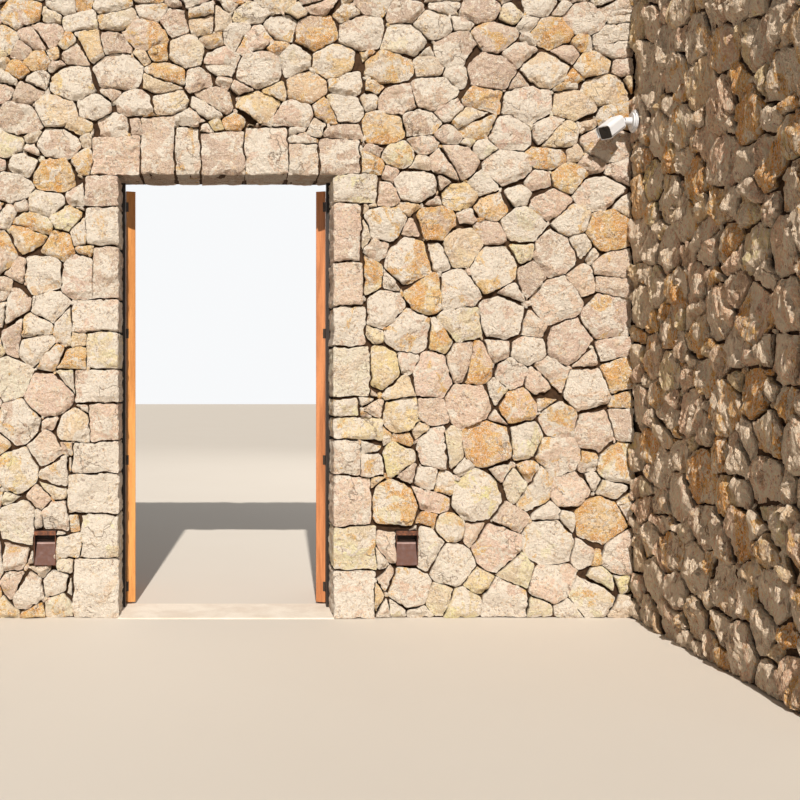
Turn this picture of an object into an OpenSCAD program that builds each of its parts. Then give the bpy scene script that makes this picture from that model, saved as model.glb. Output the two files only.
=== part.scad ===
/* [Gateway] */
// Clear width between the jamb stones
gate_w = 1280; // [1100:10:1500]
// Clear height from the ground to the underside of the lintel
gate_h = 2640; // [2300:10:2900]
// Height of the threshold slab above the ground
slab_h = 8; // [6:1:30]
// How far the lintel course bears on each jamb
lintel_bearing = 160; // [120:5:220]

/* [Walls] */
// Thickness of the gate wall and the return wall
wall_t = 380; // [350:10:480]
// Height of the walls
wall_h = 4000; // [3400:50:4600]
// Length of the gate wall on each side of the gateway
side_wall_l = 1750; // [1500:10:2400]
// How far the return wall runs forward of the gate wall
return_wall_l = 2000; // [1000:50:3000]
// Width of the joints between the dressed stones
joint_t = 10; // [6:1:16]
// How far the mortar is raked back from the stone faces
joint_rake = 14; // [6:1:30]

/* [Timber posts] */
// Width of the rebate in the masonry that holds a post
post_w = 70; // [50:1:90]
// How far the posts stand into the gateway in front of the masonry
post_out = 16; // [0:1:30]
// Width of the stop lip of a post, in front of the leaf
stop_w = 12; // [10:1:20]
// Thickness of the stop lip
stop_t = 32; // [20:1:45]
// How far the posts stand in from the court face of the wall
post_setback = 2; // [0:1:60]

/* [Leaves] */
// Thickness of the core of a leaf
core_t = 30; // [22:1:36]
// Thickness of the boards on each face of a leaf
board_t = 15; // [10:1:20]
// Boards across one face of a leaf
boards = 6; // [4:1:8]
// Open joint between two boards
board_joint = 3; // [2:0.5:6]
// Bevel along each board edge
board_bevel = 3; // [1:0.5:5]
// Gap between a leaf and its post, and between a leaf and its stop
leaf_gap = 5; // [5:0.5:8]
// Gap between the two closed leaves
meeting_gap = 8; // [8:0.5:12]
// Gap between a leaf and the threshold slab
leaf_floor_gap = 6; // [6:1:30]
// Gap between a leaf and the lintel
leaf_head_gap = 28; // [15:1:60]
// Angle that the leaves stand open at
leaf_open = 110; // [96:1:115]

/* [Hinges] */
// Hinges on each leaf
hinges = 4; // [3:1:5]
// Length of a hinge
hinge_h = 60; // [60:5:130]
// Distance from the end of a leaf to the middle of the nearest hinge
hinge_end = 100; // [80:5:300]
// Radius of the hinge knuckles
knuckle_r = 7; // [6.5:0.5:9]
// Radius of the hinge pins
hinge_pin_r = 3.5; // [2.5:0.5:4]
// Width of the hinge flaps
flap_w = 14; // [14:1:44]
// Thickness of the hinge flaps
flap_t = 2; // [1.5:0.1:2.2]

/* [Lock and lever] */
// Height of the lever above the ground
lever_z = 1060; // [900:10:1150]
// Distance from the free edge of the leaf to the lever spindle
lever_backset = 60; // [45:1:75]
// Length of the lever grip from its spindle
lever_l = 130; // [100:5:150]
// How far the lever stands off the face of the leaf
lever_out = 52; // [40:1:65]
// Height of the lever grip
lever_grip_h = 18; // [12:1:24]
// Radius of the lever roses and key plates
rose_r = 26; // [22:1:30]
// Thickness of the lever roses and key plates
rose_t = 8; // [5:1:11]
// How far the key plate sits below the lever
key_drop = 95; // [70:1:120]
// Height of the face plate of the lock
lock_plate_h = 240; // [200:5:280]
// Width of the face plate of the lock
lock_plate_w = 20; // [16:1:22]
// Thickness of the face plate of the lock
lock_plate_t = 3; // [2:0.5:4]

/* [Step lights] */
// Width of a step light
light_w = 128; // [100:1:160]
// Height of a step light
light_h = 204; // [160:1:240]
// Depth of a step light
light_d = 92; // [70:1:120]
// Height of the middle of a step light above the ground
light_z = 420; // [300:5:600]
// Distance from the jamb to the middle of a step light
light_from_jamb = 435; // [400:5:600]
// Thickness of the sheet steel of a step light
sheet_t = 3; // [2:0.5:5]
// Height of the hood lip across the top of a step light
hood_h = 25; // [18:1:35]
// Height of the open slot under the hood
slot_h = 36; // [25:1:45]

/* [Wall camera] */
// Height of the camera bracket above the ground
camera_z = 2933; // [2600:1:3300]
// Gap between the gate wall and the base plate of the bracket
camera_wall_gap = 8; // [8:1:200]
// Radius of the base plate of the bracket
camera_base_r = 66; // [60:1:80]
// Thickness of the base plate of the bracket
camera_base_t = 20; // [18:1:40]
// Length of the stem between the base plate and the knuckle
stem_l = 60; // [56:1:80]
// Radius of the stem
stem_r = 22; // [19:1:24]
// Width and height of the housing
housing_w = 80; // [62:1:84]
// Length of the housing
housing_l = 150; // [120:1:180]
// Radius of the corners of the housing
housing_r = 16; // [8:1:24]
// Thickness of the sun shield
shield_t = 2.5; // [2:0.1:3.5]
// How far the sun shield reaches in front of the housing
shield_brow = 14; // [5:1:25]
// Turn of the bracket about its base plate, from straight ahead to straight down
camera_turn = 45; // [20:1:60]
// Lean of the housing away from the line of the stem
camera_lean = 46; // [40:1:60]
// Roll of the housing about its own line, which brings its sun shield on top
camera_roll = 35; // [0:1:40]

/* [Hidden] */

$fn = 48;
// How far a cutter runs past the face that it cuts
over = 1;
// Clearance round a pin or shaft that turns in its bore
pin_fit = 0.05;
// Gap between parts that turn on each other
turn_gap = 0.5;

jamb_x = gate_w / 2;
front_y = -wall_t / 2;
rear_y = wall_t / 2;
leaf_t = core_t + 2 * board_t;
post_d = stop_t + leaf_gap + leaf_t;
post_y = rear_y - post_setback - post_d;
post_in_x = -jamb_x + post_out;
// The face of the post that the hinge edge of a closed leaf stands against
rebate_x = post_in_x - stop_w;
post_out_x = jamb_x + post_w;
wall_end_x = jamb_x + side_wall_l;
return_out_x = wall_end_x + wall_t;

// Share of the gateway height that each jamb course takes, from the ground up
left_courses = [36, 26, 24.5, 19.5, 22.5, 20.5, 21.5, 20.5, 31, 24, 18];
right_courses = [29, 26, 30.5, 21, 13.5, 11.5, 31, 23.5, 26.5, 35.5, 16];
// Length of each jamb stone along the wall, from the ground up
left_lengths = [265, 225, 295, 270, 170, 265, 185, 280, 150, 190, 195];
right_lengths = [250, 250, 225, 155, 295, 155, 220, 195, 180, 160, 255];
// Share of the lintel course that each stone takes, and the height of each stone
lintel_shares = [30, 21, 15, 27, 26, 19, 24];
lintel_heights = [225, 345, 280, 255, 280, 180, 215];

function sum_to(list, count) = count == 0 ? 0 : list[count - 1] + sum_to(list, count - 1);
function total(list) = sum_to(list, len(list));
function course_z(courses, i) = gate_h * sum_to(courses, i) / total(courses);

// A box between its low and high corners
module block(low, high) {
    translate(low) cube(high - low);
}

module on_right() {
    mirror([1, 0, 0]) children();
}

// Masonry

// The rebate that a timber post and a hinge edge stand in
module post_rebate() {
    block([-post_out_x, post_y, -over], [-jamb_x + over, rear_y + over, gate_h]);
}

module jamb_stone(courses, lengths, i) {
    low = [-jamb_x - lengths[i], front_y, course_z(courses, i)];
    high = [-jamb_x, rear_y, course_z(courses, i + 1) - joint_t];
    difference() {
        block(low, high);
        post_rebate();
    }
}

module jamb_stones(courses, lengths) {
    for (i = [0 : len(courses) - 1]) jamb_stone(courses, lengths, i);
}

// The raked front, back and reveal of the bed joint above one course
module bed_rake(courses, lengths, i) {
    top = course_z(courses, i + 1);
    reach = min(lengths[i], lengths[min(i + 1, len(lengths) - 1)]);
    difference() {
        block([-jamb_x - reach, front_y - over, top - joint_t], [-jamb_x + over, rear_y + over, top]);
        block([-jamb_x - reach - over, front_y + joint_rake, top - joint_t - over],
            [-jamb_x - joint_rake, rear_y - joint_rake, top + over]);
    }
}

module light_recess() {
    x = -jamb_x - light_from_jamb;
    block([x - light_w / 2, front_y - over, light_z - light_h / 2],
        [x + light_w / 2, front_y + light_d, light_z + light_h / 2]);
}

module side_wall(courses, lengths) {
    difference() {
        block([-wall_end_x, front_y, 0], [-jamb_x, rear_y, wall_h]);
        post_rebate();
        light_recess();
        for (i = [0 : len(courses) - 1]) {
            block([-jamb_x - lengths[i], front_y - over, course_z(courses, i)],
                [-jamb_x + over, rear_y + over, course_z(courses, i + 1) - joint_t]);
            bed_rake(courses, lengths, i);
        }
    }
}

function lintel_x(i) = -jamb_x - lintel_bearing
    + (gate_w + 2 * lintel_bearing) * sum_to(lintel_shares, i) / total(lintel_shares);
// Every lintel stone but the last gives up a joint at its right end
function lintel_joint(i) = i < len(lintel_shares) - 1 ? joint_t : 0;

// The stones of the flat lintel, grown past the wall faces and below the soffit to cut the walls
module lintel(grow_y, grow_down) {
    for (i = [0 : len(lintel_shares) - 1]) {
        block([lintel_x(i), front_y - grow_y, gate_h - grow_down],
            [lintel_x(i + 1) - lintel_joint(i), rear_y + grow_y, gate_h + lintel_heights[i]]);
    }
}

// The raked front, back and underside of the upright joints in the lintel
module lintel_rake() {
    for (i = [0 : len(lintel_shares) - 2]) {
        x = lintel_x(i + 1);
        top = gate_h + min(lintel_heights[i], lintel_heights[i + 1]);
        difference() {
            block([x - joint_t, front_y - over, gate_h - over], [x, rear_y + over, top]);
            block([x - joint_t - over, front_y + joint_rake, gate_h + joint_rake],
                [x + over, rear_y - joint_rake, top + over]);
        }
    }
}

module left_wall() {
    color("burlywood") difference() {
        side_wall(left_courses, left_lengths);
        lintel(over, 0);
    }
}

module right_wall() {
    color("burlywood") difference() {
        on_right() side_wall(right_courses, right_lengths);
        lintel(over, 0);
    }
}

module wall_over_gate() {
    color("burlywood") difference() {
        block([-jamb_x, front_y, gate_h], [jamb_x, rear_y, wall_h]);
        lintel(over, over);
        lintel_rake();
    }
}

module return_wall() {
    color("tan") block([wall_end_x, front_y - return_wall_l, 0], [return_out_x, rear_y, wall_h]);
}

module left_jamb_stones() {
    color("wheat") jamb_stones(left_courses, left_lengths);
}

module right_jamb_stones() {
    color("wheat") on_right() jamb_stones(right_courses, right_lengths);
}

module lintel_stones() {
    color("wheat") lintel(0, 0);
}

module threshold_slab() {
    color("gainsboro") union() {
        block([-jamb_x, front_y, 0], [jamb_x, rear_y, slab_h]);
        block([-post_out_x, post_y, 0], [post_out_x, rear_y, slab_h]);
    }
}

// Timber posts

module post() {
    translate([0, 0, slab_h]) linear_extrude(gate_h - slab_h) polygon([
        [-post_out_x, post_y], [post_in_x, post_y],
        [post_in_x, post_y + stop_t], [rebate_x, post_y + stop_t],
        [rebate_x, post_y + post_d], [-post_out_x, post_y + post_d]]);
}

module left_post() {
    color("saddlebrown") post();
}

module right_post() {
    color("saddlebrown") on_right() post();
}

// Leaves, drawn closed on the left side and then swung open about the pin

leaf_x = rebate_x + leaf_gap;
leaf_free_x = -meeting_gap / 2;
leaf_y = post_y + stop_t + leaf_gap;
leaf_rear_y = leaf_y + leaf_t;
leaf_z = slab_h + leaf_floor_gap;
leaf_top = gate_h - leaf_head_gap;
pin_x = rebate_x + leaf_gap / 2;
pin_y = leaf_rear_y + knuckle_r;
spindle_x = leaf_free_x - lever_backset;
neck_r = 9;
key_hole_r = 5;

module swung_open() {
    translate([pin_x, pin_y, 0]) rotate([0, 0, leaf_open]) translate([-pin_x, -pin_y, 0]) children();
}

function hinge_z(i) = leaf_z + hinge_end + i * (leaf_top - leaf_z - 2 * hinge_end) / (hinges - 1);

// A bore along Y through the whole leaf
module leaf_bore(z, r) {
    translate([spindle_x, leaf_y - over, z]) rotate([-90, 0, 0]) cylinder(h = leaf_t + 2 * over, r = r);
}

module lock_bores() {
    leaf_bore(lever_z, neck_r + turn_gap);
    leaf_bore(lever_z - key_drop, key_hole_r);
}

// Share of the face plate that lies above the lever
plate_above = 0.4;

// The shallow seat of the face plate or strike plate in the free edge
module plate_seat() {
    top = lever_z + lock_plate_h * plate_above;
    block([leaf_free_x - lock_plate_t, plate_y(0), top - lock_plate_h],
        [leaf_free_x + over, plate_y(1), top]);
}

// The two sides of the face plate, centred in the leaf thickness
function plate_y(side) = leaf_y + leaf_t / 2 + (side - 0.5) * lock_plate_w;

module leaf_core() {
    difference() {
        block([leaf_x, leaf_y + board_t, leaf_z], [leaf_free_x, leaf_rear_y - board_t, leaf_top]);
        plate_seat();
    }
}

// One face of boards with bevelled edges, laid from y0 outwards
module leaf_boards(y0, outwards) {
    leaf_l = leaf_free_x - leaf_x;
    pitch = (leaf_l + board_joint) / boards;
    for (i = [0 : boards - 1]) {
        a = leaf_x + i * pitch;
        b = a + pitch - board_joint;
        face_y = y0 + outwards * board_t;
        bevel_y = face_y - outwards * board_bevel;
        translate([0, 0, leaf_z]) linear_extrude(leaf_top - leaf_z) polygon([
            [a, y0], [b, y0], [b, bevel_y], [b - board_bevel, face_y],
            [a + board_bevel, face_y], [a, bevel_y]]);
    }
}

module street_boards() {
    leaf_boards(leaf_y + board_t, -1);
}

module court_boards() {
    leaf_boards(leaf_rear_y - board_t, 1);
}

// The third of a knuckle that belongs to the leaf sits between the two of the post
knuckle_h = hinge_h / 3;

// A flap against the post or the leaf edge, from x0 to x1, clear of the other knuckles
module flap(x0, x1, z) {
    block([x0, leaf_rear_y - flap_w, z - hinge_h / 2], [x1, leaf_rear_y - turn_gap, z + hinge_h / 2]);
}

module knuckle(z, h, r) {
    translate([pin_x, pin_y, z - h / 2]) cylinder(h = h, r = r);
}

module leaf_hinge(z) {
    h = knuckle_h - 2 * turn_gap;
    difference() {
        union() {
            flap(leaf_x - flap_t, leaf_x, z);
            knuckle(z, h, knuckle_r);
            block([leaf_x - flap_t, leaf_rear_y - flap_w, z - h / 2], [leaf_x, pin_y, z + h / 2]);
        }
        knuckle(z, hinge_h + 2 * over, hinge_pin_r + pin_fit);
    }
}

module post_hinge(z) {
    knuckle(z, hinge_h, hinge_pin_r);
    flap(rebate_x, rebate_x + flap_t, z);
    for (side = [-1, 1]) {
        mid = z + side * knuckle_h;
        knuckle(mid, knuckle_h, knuckle_r);
        block([rebate_x, leaf_rear_y - flap_w, mid - knuckle_h / 2],
            [rebate_x + flap_t, pin_y, mid + knuckle_h / 2]);
    }
}

module post_hinges() {
    for (i = [0 : hinges - 1]) post_hinge(hinge_z(i));
}

module leaf_hinges() {
    for (i = [0 : hinges - 1]) leaf_hinge(hinge_z(i));
}

module left_post_hinges() {
    color("dimgray") post_hinges();
}

module right_post_hinges() {
    color("dimgray") on_right() post_hinges();
}

module left_leaf_hinges() {
    color("dimgray") swung_open() leaf_hinges();
}

module right_leaf_hinges() {
    color("dimgray") on_right() swung_open() leaf_hinges();
}

module left_leaf_core() {
    color("sienna") swung_open() difference() {
        leaf_core();
        lock_bores();
    }
}

module right_leaf_core() {
    color("sienna") on_right() swung_open() leaf_core();
}

module left_leaf_street_boards() {
    color("peru") swung_open() difference() {
        street_boards();
        lock_bores();
    }
}

module left_leaf_court_boards() {
    color("peru") swung_open() difference() {
        court_boards();
        lock_bores();
    }
}

module right_leaf_street_boards() {
    color("peru") on_right() swung_open() street_boards();
}

module right_leaf_court_boards() {
    color("peru") on_right() swung_open() court_boards();
}

// Lock, lever and strike

latch_out = 6;
latch_h = 22;
latch_w = 10;
latch_play = 2.5;

module face_plate() {
    intersection() {
        plate_seat();
        block([leaf_free_x - lock_plate_t, leaf_y, 0], [leaf_free_x, leaf_rear_y, leaf_top]);
    }
}

module lock_plate() {
    mid_y = leaf_y + leaf_t / 2;
    color("dimgray") swung_open() union() {
        face_plate();
        block([leaf_free_x - lock_plate_t, mid_y - latch_w / 2, lever_z - latch_h / 2],
            [leaf_free_x + latch_out, mid_y + latch_w / 2, lever_z + latch_h / 2]);
    }
}

module strike_plate() {
    mid_y = leaf_y + leaf_t / 2;
    color("dimgray") on_right() swung_open() difference() {
        face_plate();
        block([leaf_free_x - lock_plate_t - over, mid_y - latch_w / 2 - latch_play,
            lever_z - latch_h / 2 - latch_play],
            [leaf_free_x + over, mid_y + latch_w / 2 + latch_play, lever_z + latch_h / 2 + latch_play]);
    }
}

// A round plate on each face of the leaf, bored for its spindle or key
module round_plates(z, bore_r) {
    for (y = [leaf_y - rose_t, leaf_rear_y]) {
        translate([spindle_x, y, z]) rotate([-90, 0, 0]) difference() {
            cylinder(h = rose_t, r = rose_r);
            translate([0, 0, -over]) cylinder(h = rose_t + 2 * over, r = bore_r);
        }
    }
}

module lever_roses() {
    color("dimgray") swung_open() round_plates(lever_z, neck_r + pin_fit);
}

module key_plates() {
    color("dimgray") swung_open() round_plates(lever_z - key_drop, key_hole_r);
}

grip_t = 12;

// The spindle with a neck and a grip on each face, the grips pointing to the hinges
module lever() {
    y0 = leaf_y - lever_out;
    y1 = leaf_rear_y + lever_out;
    r = lever_grip_h / 2;
    tip_x = spindle_x - lever_l + r;
    color("dimgray") swung_open() union() {
        translate([spindle_x, y0, lever_z]) rotate([-90, 0, 0]) cylinder(h = y1 - y0, r = neck_r);
        for (y = [y0, y1 - grip_t]) {
            block([tip_x, y, lever_z - r], [spindle_x, y + grip_t, lever_z + r]);
            for (x = [tip_x, spindle_x]) {
                translate([x, y, lever_z]) rotate([-90, 0, 0]) cylinder(h = grip_t, r = r);
            }
        }
    }
}

// Step lights, drawn on the left side about the middle of the light

lamp_h = 10;
lamp_d = 40;
lamp_inset = 9;
shelf_rise = 18;
shelf_d = 26;
plate_t = 3;

module at_light() {
    translate([-jamb_x - light_from_jamb, front_y, light_z]) children();
}

module light_box() {
    w = light_w / 2;
    h = light_h / 2;
    difference() {
        block([-w, 0, -h], [w, light_d, h]);
        block([-w + sheet_t, sheet_t, -h + sheet_t], [w - sheet_t, light_d - sheet_t, h - sheet_t]);
        block([-w + sheet_t, -over, -h + sheet_t], [w - sheet_t, sheet_t + over, h - hood_h]);
    }
}

// The bent plate that slopes from under the slot out to the foot of the opening
module light_plate() {
    foot_z = -light_h / 2 + sheet_t;
    top_z = light_h / 2 - hood_h - slot_h;
    back_y = light_d - sheet_t;
    bend = [back_y - shelf_d, top_z - shelf_rise];
    translate([-light_w / 2 + sheet_t, 0, 0]) rotate([90, 0, 90])
        linear_extrude(light_w - 2 * sheet_t) polygon([
            [back_y, top_z], bend, [sheet_t, foot_z], [sheet_t + plate_t, foot_z],
            [bend[0] + plate_t, bend[1] - plate_t], [back_y, top_z - plate_t]]);
}

// The lamp bar, fixed to the roof of the box behind the hood lip
module light_lamp() {
    top_z = light_h / 2 - sheet_t;
    w = light_w / 2 - lamp_inset;
    block([-w, lamp_inset, top_z - lamp_h], [w, lamp_inset + lamp_d, top_z]);
}

module left_light_box() {
    color("rosybrown") at_light() light_box();
}

module right_light_box() {
    color("rosybrown") on_right() at_light() light_box();
}

module left_light_plate() {
    color("brown") at_light() light_plate();
}

module right_light_plate() {
    color("brown") on_right() at_light() light_plate();
}

module left_light_lamp() {
    color("white") at_light() light_lamp();
}

module right_light_lamp() {
    color("white") on_right() at_light() light_lamp();
}

// Wall camera. Its bracket is drawn with the stem along +X, seen from the wall, then turned to
// the return wall. The housing is drawn along the stem and leant over about the knuckle.

rim_step = 6;
hub_step = 18;
rim_h = 6;
spigot_r = 14;
spigot_l = 12;
flange_gap = 0.3;
ear_t = 7;
tongue_t = 16;
tongue_r = stem_r - 2;
tongue_neck = 3;
cross_pin_r = 4;
neck_back = 6;
knuckle_at = camera_base_t + stem_l;
head_start = stem_r + neck_back;
window_t = 4;
window_inset = 1;
window_rim = 4;
window_gap = 0.2;
shield_gap = 3;

module on_return_wall() {
    translate([wall_end_x, front_y - camera_wall_gap - camera_base_r, camera_z])
        rotate([0, 0, 180]) children();
}

// Turned about the stem, so that the lean runs forward and down
module turned_bracket() {
    rotate([-camera_turn, 0, 0]) children();
}

module leant_head() {
    translate([knuckle_at, 0, 0]) rotate([0, 0, camera_lean]) children();
}

module rolled() {
    rotate([camera_roll, 0, 0]) children();
}

module camera_base_plate() {
    color("white") on_return_wall() rotate([0, 90, 0]) difference() {
        union() {
            cylinder(h = rim_h, r = camera_base_r);
            cylinder(h = 2 * rim_h, r = camera_base_r - rim_step);
            cylinder(h = camera_base_t, r = camera_base_r - hub_step);
        }
        translate([0, 0, camera_base_t - spigot_l]) cylinder(h = spigot_l + over, r = spigot_r + pin_fit);
    }
}

// The stem ends in a tongue that the ears of the housing straddle
module camera_stem() {
    color("white") on_return_wall() turned_bracket() difference() {
        union() {
            translate([camera_base_t - spigot_l + flange_gap, 0, 0]) rotate([0, 90, 0])
                cylinder(h = spigot_l, r = spigot_r);
            translate([camera_base_t + flange_gap, 0, 0]) rotate([0, 90, 0])
                cylinder(h = stem_l - stem_r - flange_gap, r = stem_r);
            translate([knuckle_at, 0, -tongue_t / 2]) cylinder(h = tongue_t, r = tongue_r);
            block([knuckle_at - stem_r - tongue_neck, -tongue_r, -tongue_t / 2],
                [knuckle_at, tongue_r, tongue_t / 2]);
        }
        translate([knuckle_at, 0, -stem_r]) cylinder(h = 2 * stem_r, r = cross_pin_r + pin_fit);
    }
}

module rounded_square(w, r) {
    square([w - 2 * r, w], center = true);
    square([w, w - 2 * r], center = true);
    for (x = [-1, 1], y = [-1, 1]) translate([x * (w / 2 - r), y * (w / 2 - r)]) circle(r);
}

// A bar of rounded square section along the line of the housing
module housing_bar(start, end, w, r) {
    translate([start, 0, 0]) rotate([90, 0, 90]) linear_extrude(end - start) rounded_square(w, r);
}

module camera_housing() {
    end = head_start + housing_l;
    color("white") on_return_wall() turned_bracket() leant_head() union() {
        rolled() difference() {
            housing_bar(head_start, end, housing_w, housing_r);
            housing_bar(end - window_t, end + over, housing_w - 2 * window_rim, housing_r - window_rim);
        }
        for (side = [-1, 1]) {
            z = side > 0 ? tongue_t / 2 + flange_gap : -tongue_t / 2 - flange_gap - ear_t;
            translate([0, 0, z]) cylinder(h = ear_t, r = tongue_r);
            block([0, -tongue_r, z], [head_start + over, tongue_r, z + ear_t]);
        }
        translate([0, 0, -tongue_t / 2 - flange_gap - ear_t])
            cylinder(h = tongue_t + 2 * (flange_gap + ear_t), r = cross_pin_r);
    }
}

// The shield wraps the top and sides of the housing, held off it by two rails
module camera_sun_shield() {
    start = head_start + 2 * shield_gap;
    end = head_start + housing_l + shield_brow;
    outer = housing_w + 2 * (shield_gap + shield_t);
    inner = housing_w + 2 * shield_gap;
    color("white") on_return_wall() turned_bracket() leant_head() rolled() union() {
        difference() {
            housing_bar(start, end, outer, housing_r + shield_gap + shield_t);
            housing_bar(start - over, end + over, inner, housing_r + shield_gap);
            block([start - over, -outer, -outer], [end + over, outer, -housing_w / 4]);
        }
        for (y = [-1, 1]) {
            block([start, y * housing_w / 4 - shield_gap, housing_w / 2],
                [end - shield_brow - window_t, y * housing_w / 4 + shield_gap, inner / 2 + shield_t / 2]);
        }
    }
}

module camera_window() {
    end = head_start + housing_l;
    rim = window_rim + window_gap;
    color("black") on_return_wall() turned_bracket() leant_head() rolled()
        housing_bar(end - window_t, end - window_inset, housing_w - 2 * rim, housing_r - rim);
}

left_wall();
right_wall();
wall_over_gate();
return_wall();
left_jamb_stones();
right_jamb_stones();
lintel_stones();
threshold_slab();
left_post();
right_post();
left_post_hinges();
right_post_hinges();
left_light_box();
left_light_plate();
left_light_lamp();
right_light_box();
right_light_plate();
right_light_lamp();
camera_base_plate();
camera_stem();
camera_housing();
camera_sun_shield();
camera_window();
left_leaf_core();
left_leaf_street_boards();
left_leaf_court_boards();
left_leaf_hinges();
right_leaf_core();
right_leaf_street_boards();
right_leaf_court_boards();
right_leaf_hinges();
lock_plate();
lever_roses();
key_plates();
lever();
strike_plate();
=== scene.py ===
import math
import random
from collections import namedtuple

import bmesh
import bpy
import numpy as np
from bpy.props import FloatProperty, FloatVectorProperty, IntProperty, PointerProperty
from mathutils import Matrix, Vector, noise
from mathutils.geometry import delaunay_2d_cdt


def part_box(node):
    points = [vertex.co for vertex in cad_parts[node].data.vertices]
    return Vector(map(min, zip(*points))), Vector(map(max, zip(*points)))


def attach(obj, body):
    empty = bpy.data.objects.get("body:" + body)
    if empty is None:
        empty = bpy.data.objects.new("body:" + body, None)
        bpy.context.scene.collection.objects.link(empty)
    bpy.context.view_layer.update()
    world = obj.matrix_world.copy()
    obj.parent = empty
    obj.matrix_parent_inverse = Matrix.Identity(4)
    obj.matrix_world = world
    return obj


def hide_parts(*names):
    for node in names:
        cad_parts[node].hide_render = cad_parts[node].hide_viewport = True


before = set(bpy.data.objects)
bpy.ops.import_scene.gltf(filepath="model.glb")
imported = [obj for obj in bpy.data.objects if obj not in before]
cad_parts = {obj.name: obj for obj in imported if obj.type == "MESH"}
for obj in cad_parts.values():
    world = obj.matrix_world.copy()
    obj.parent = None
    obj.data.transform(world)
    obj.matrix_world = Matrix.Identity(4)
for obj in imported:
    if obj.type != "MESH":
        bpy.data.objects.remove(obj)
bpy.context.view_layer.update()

bl_info = {
    "name": "Stone Wall Gateway",
    "version": (1, 0, 0),
    "blender": (4, 5, 0),
    "location": "View3D > Sidebar > Gateway",
    "description": "Lays the rubble masonry and finishes the timber gate of a stone wall gateway",
    "category": "Add Mesh",
}


def screen(red, green, blue):
    """A colour as it looks on a screen, 0 to 255, turned into the linear values of a shader."""
    def linear(c):
        c /= 255
        return c / 12.92 if c <= 0.04045 else ((c + 0.055) / 1.055) ** 2.4
    return linear(red), linear(green), linear(blue)


# Settings that a user would change

def size_setting(name, description, default, low=0.0, high=10.0):
    return FloatProperty(name=name, description=description, default=default, min=low, max=high,
                         unit="LENGTH", precision=4)


def colour_setting(name, description, default):
    return FloatVectorProperty(name=name, description=description, default=default, size=3,
                               subtype="COLOR", min=0.0, max=1.0)


class MasonrySettings(bpy.types.PropertyGroup):
    """Sizes and stone colours of the rubble walls"""
    joint: size_setting("Joint", "Usual width of the open joints between stones", 0.0045)
    bed_depth: size_setting("Bed depth", "How far the mortar lies behind the stone faces", 0.050)
    street_grain: size_setting("Street grain", "Mesh spacing on the stones of the street face", 0.0145)
    court_grain: size_setting("Court grain", "Mesh spacing on the stones of the other faces", 0.022)
    relief: size_setting("Relief", "Height of the broad unevenness of a split stone", 0.007)
    fine_relief: size_setting("Fine relief", "Height of the small unevenness of a split stone", 0.0045)
    facet: FloatProperty(name="Facets", description="Slope of the small fracture planes of a split stone",
                         default=0.27, min=0.0, max=2.0)
    seed: IntProperty(name="Seed", description="Seed of the stone layout", default=11, min=1)
    grey: colour_setting("Grey stone", "Colour of the grey limestone", screen(226, 205, 190))
    pink: colour_setting("Pink-grey stone", "Colour of the pinkish limestone", screen(235, 211, 194))
    pale: colour_setting("Pale stone", "Colour of the palest limestone", screen(252, 241, 218))
    cream: colour_setting("Cream stone", "Colour of the cream limestone", screen(252, 234, 196))
    yellow: colour_setting("Yellow stone", "Colour of the yellow limestone", screen(255, 219, 160))
    ochre: colour_setting("Ochre stone", "Colour of the ochre limestone", screen(243, 212, 162))
    rust: colour_setting("Rust stone", "Colour of the rusty limestone", screen(228, 198, 172))
    # The joint colour is earthy mortar, darkened further as painted shade that stands for the shadow deep in
    # the joints.
    joint_colour_and_shade: colour_setting("Joint", "Colour of the earthy mortar deep in the joints",
                                 screen(50, 35, 24))
    orange: colour_setting("Stain", "Colour of the orange iron stains", screen(236, 174, 78))
    white: colour_setting("Fresh break", "Colour of the freshly broken limestone", screen(255, 252, 244))


class TimberSettings(bpy.types.PropertyGroup):
    """Colours and sizes of the timber posts and leaves"""
    board_pitch: size_setting("Board pitch", "Distance from one board of a leaf to the next", 0.1057)
    left_light: colour_setting("Left leaf, light", "Light bands of the left leaf", screen(242, 174, 100))
    left_dark: colour_setting("Left leaf, dark", "Dark bands of the left leaf", screen(208, 140, 76))
    right_light: colour_setting("Right leaf, light", "Light bands of the right leaf", screen(214, 142, 92))
    right_dark: colour_setting("Right leaf, dark", "Dark bands of the right leaf", screen(176, 110, 66))
    # The posts are nearly black: a dark stain, and painted shade for the shadowed gap between jamb and leaf.
    shaded_post_light: colour_setting("Post, light", "Light bands of the stained posts", screen(40, 26, 18))
    shaded_post_dark: colour_setting("Post, dark", "Dark bands of the stained posts", screen(20, 13, 9))


class MetalSettings(bpy.types.PropertyGroup):
    """Colours of the ironmongery, the step lights and the wall camera"""
    bronze: colour_setting("Ironmongery", "Colour of the hinges, lock and lever", screen(58, 50, 44))
    worn: colour_setting("Worn edges", "Colour where the dark finish is worn", screen(118, 100, 84))
    plate: colour_setting("Light plate", "Colour of the bent plate of a step light", screen(88, 59, 51))
    rust_dark: colour_setting("Dark rust", "Dark rust of the step light boxes", screen(72, 44, 33))
    rust_light: colour_setting("Light rust", "Bright rust of the step light boxes", screen(142, 88, 60))
    diffuser: colour_setting("Diffuser", "Colour of the lamp bars", screen(222, 222, 210))
    shell: colour_setting("Shell", "Colour of the white wall camera", screen(218, 219, 222))
    window: colour_setting("Window", "Colour of its dark front window", screen(22, 22, 25))


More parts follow.
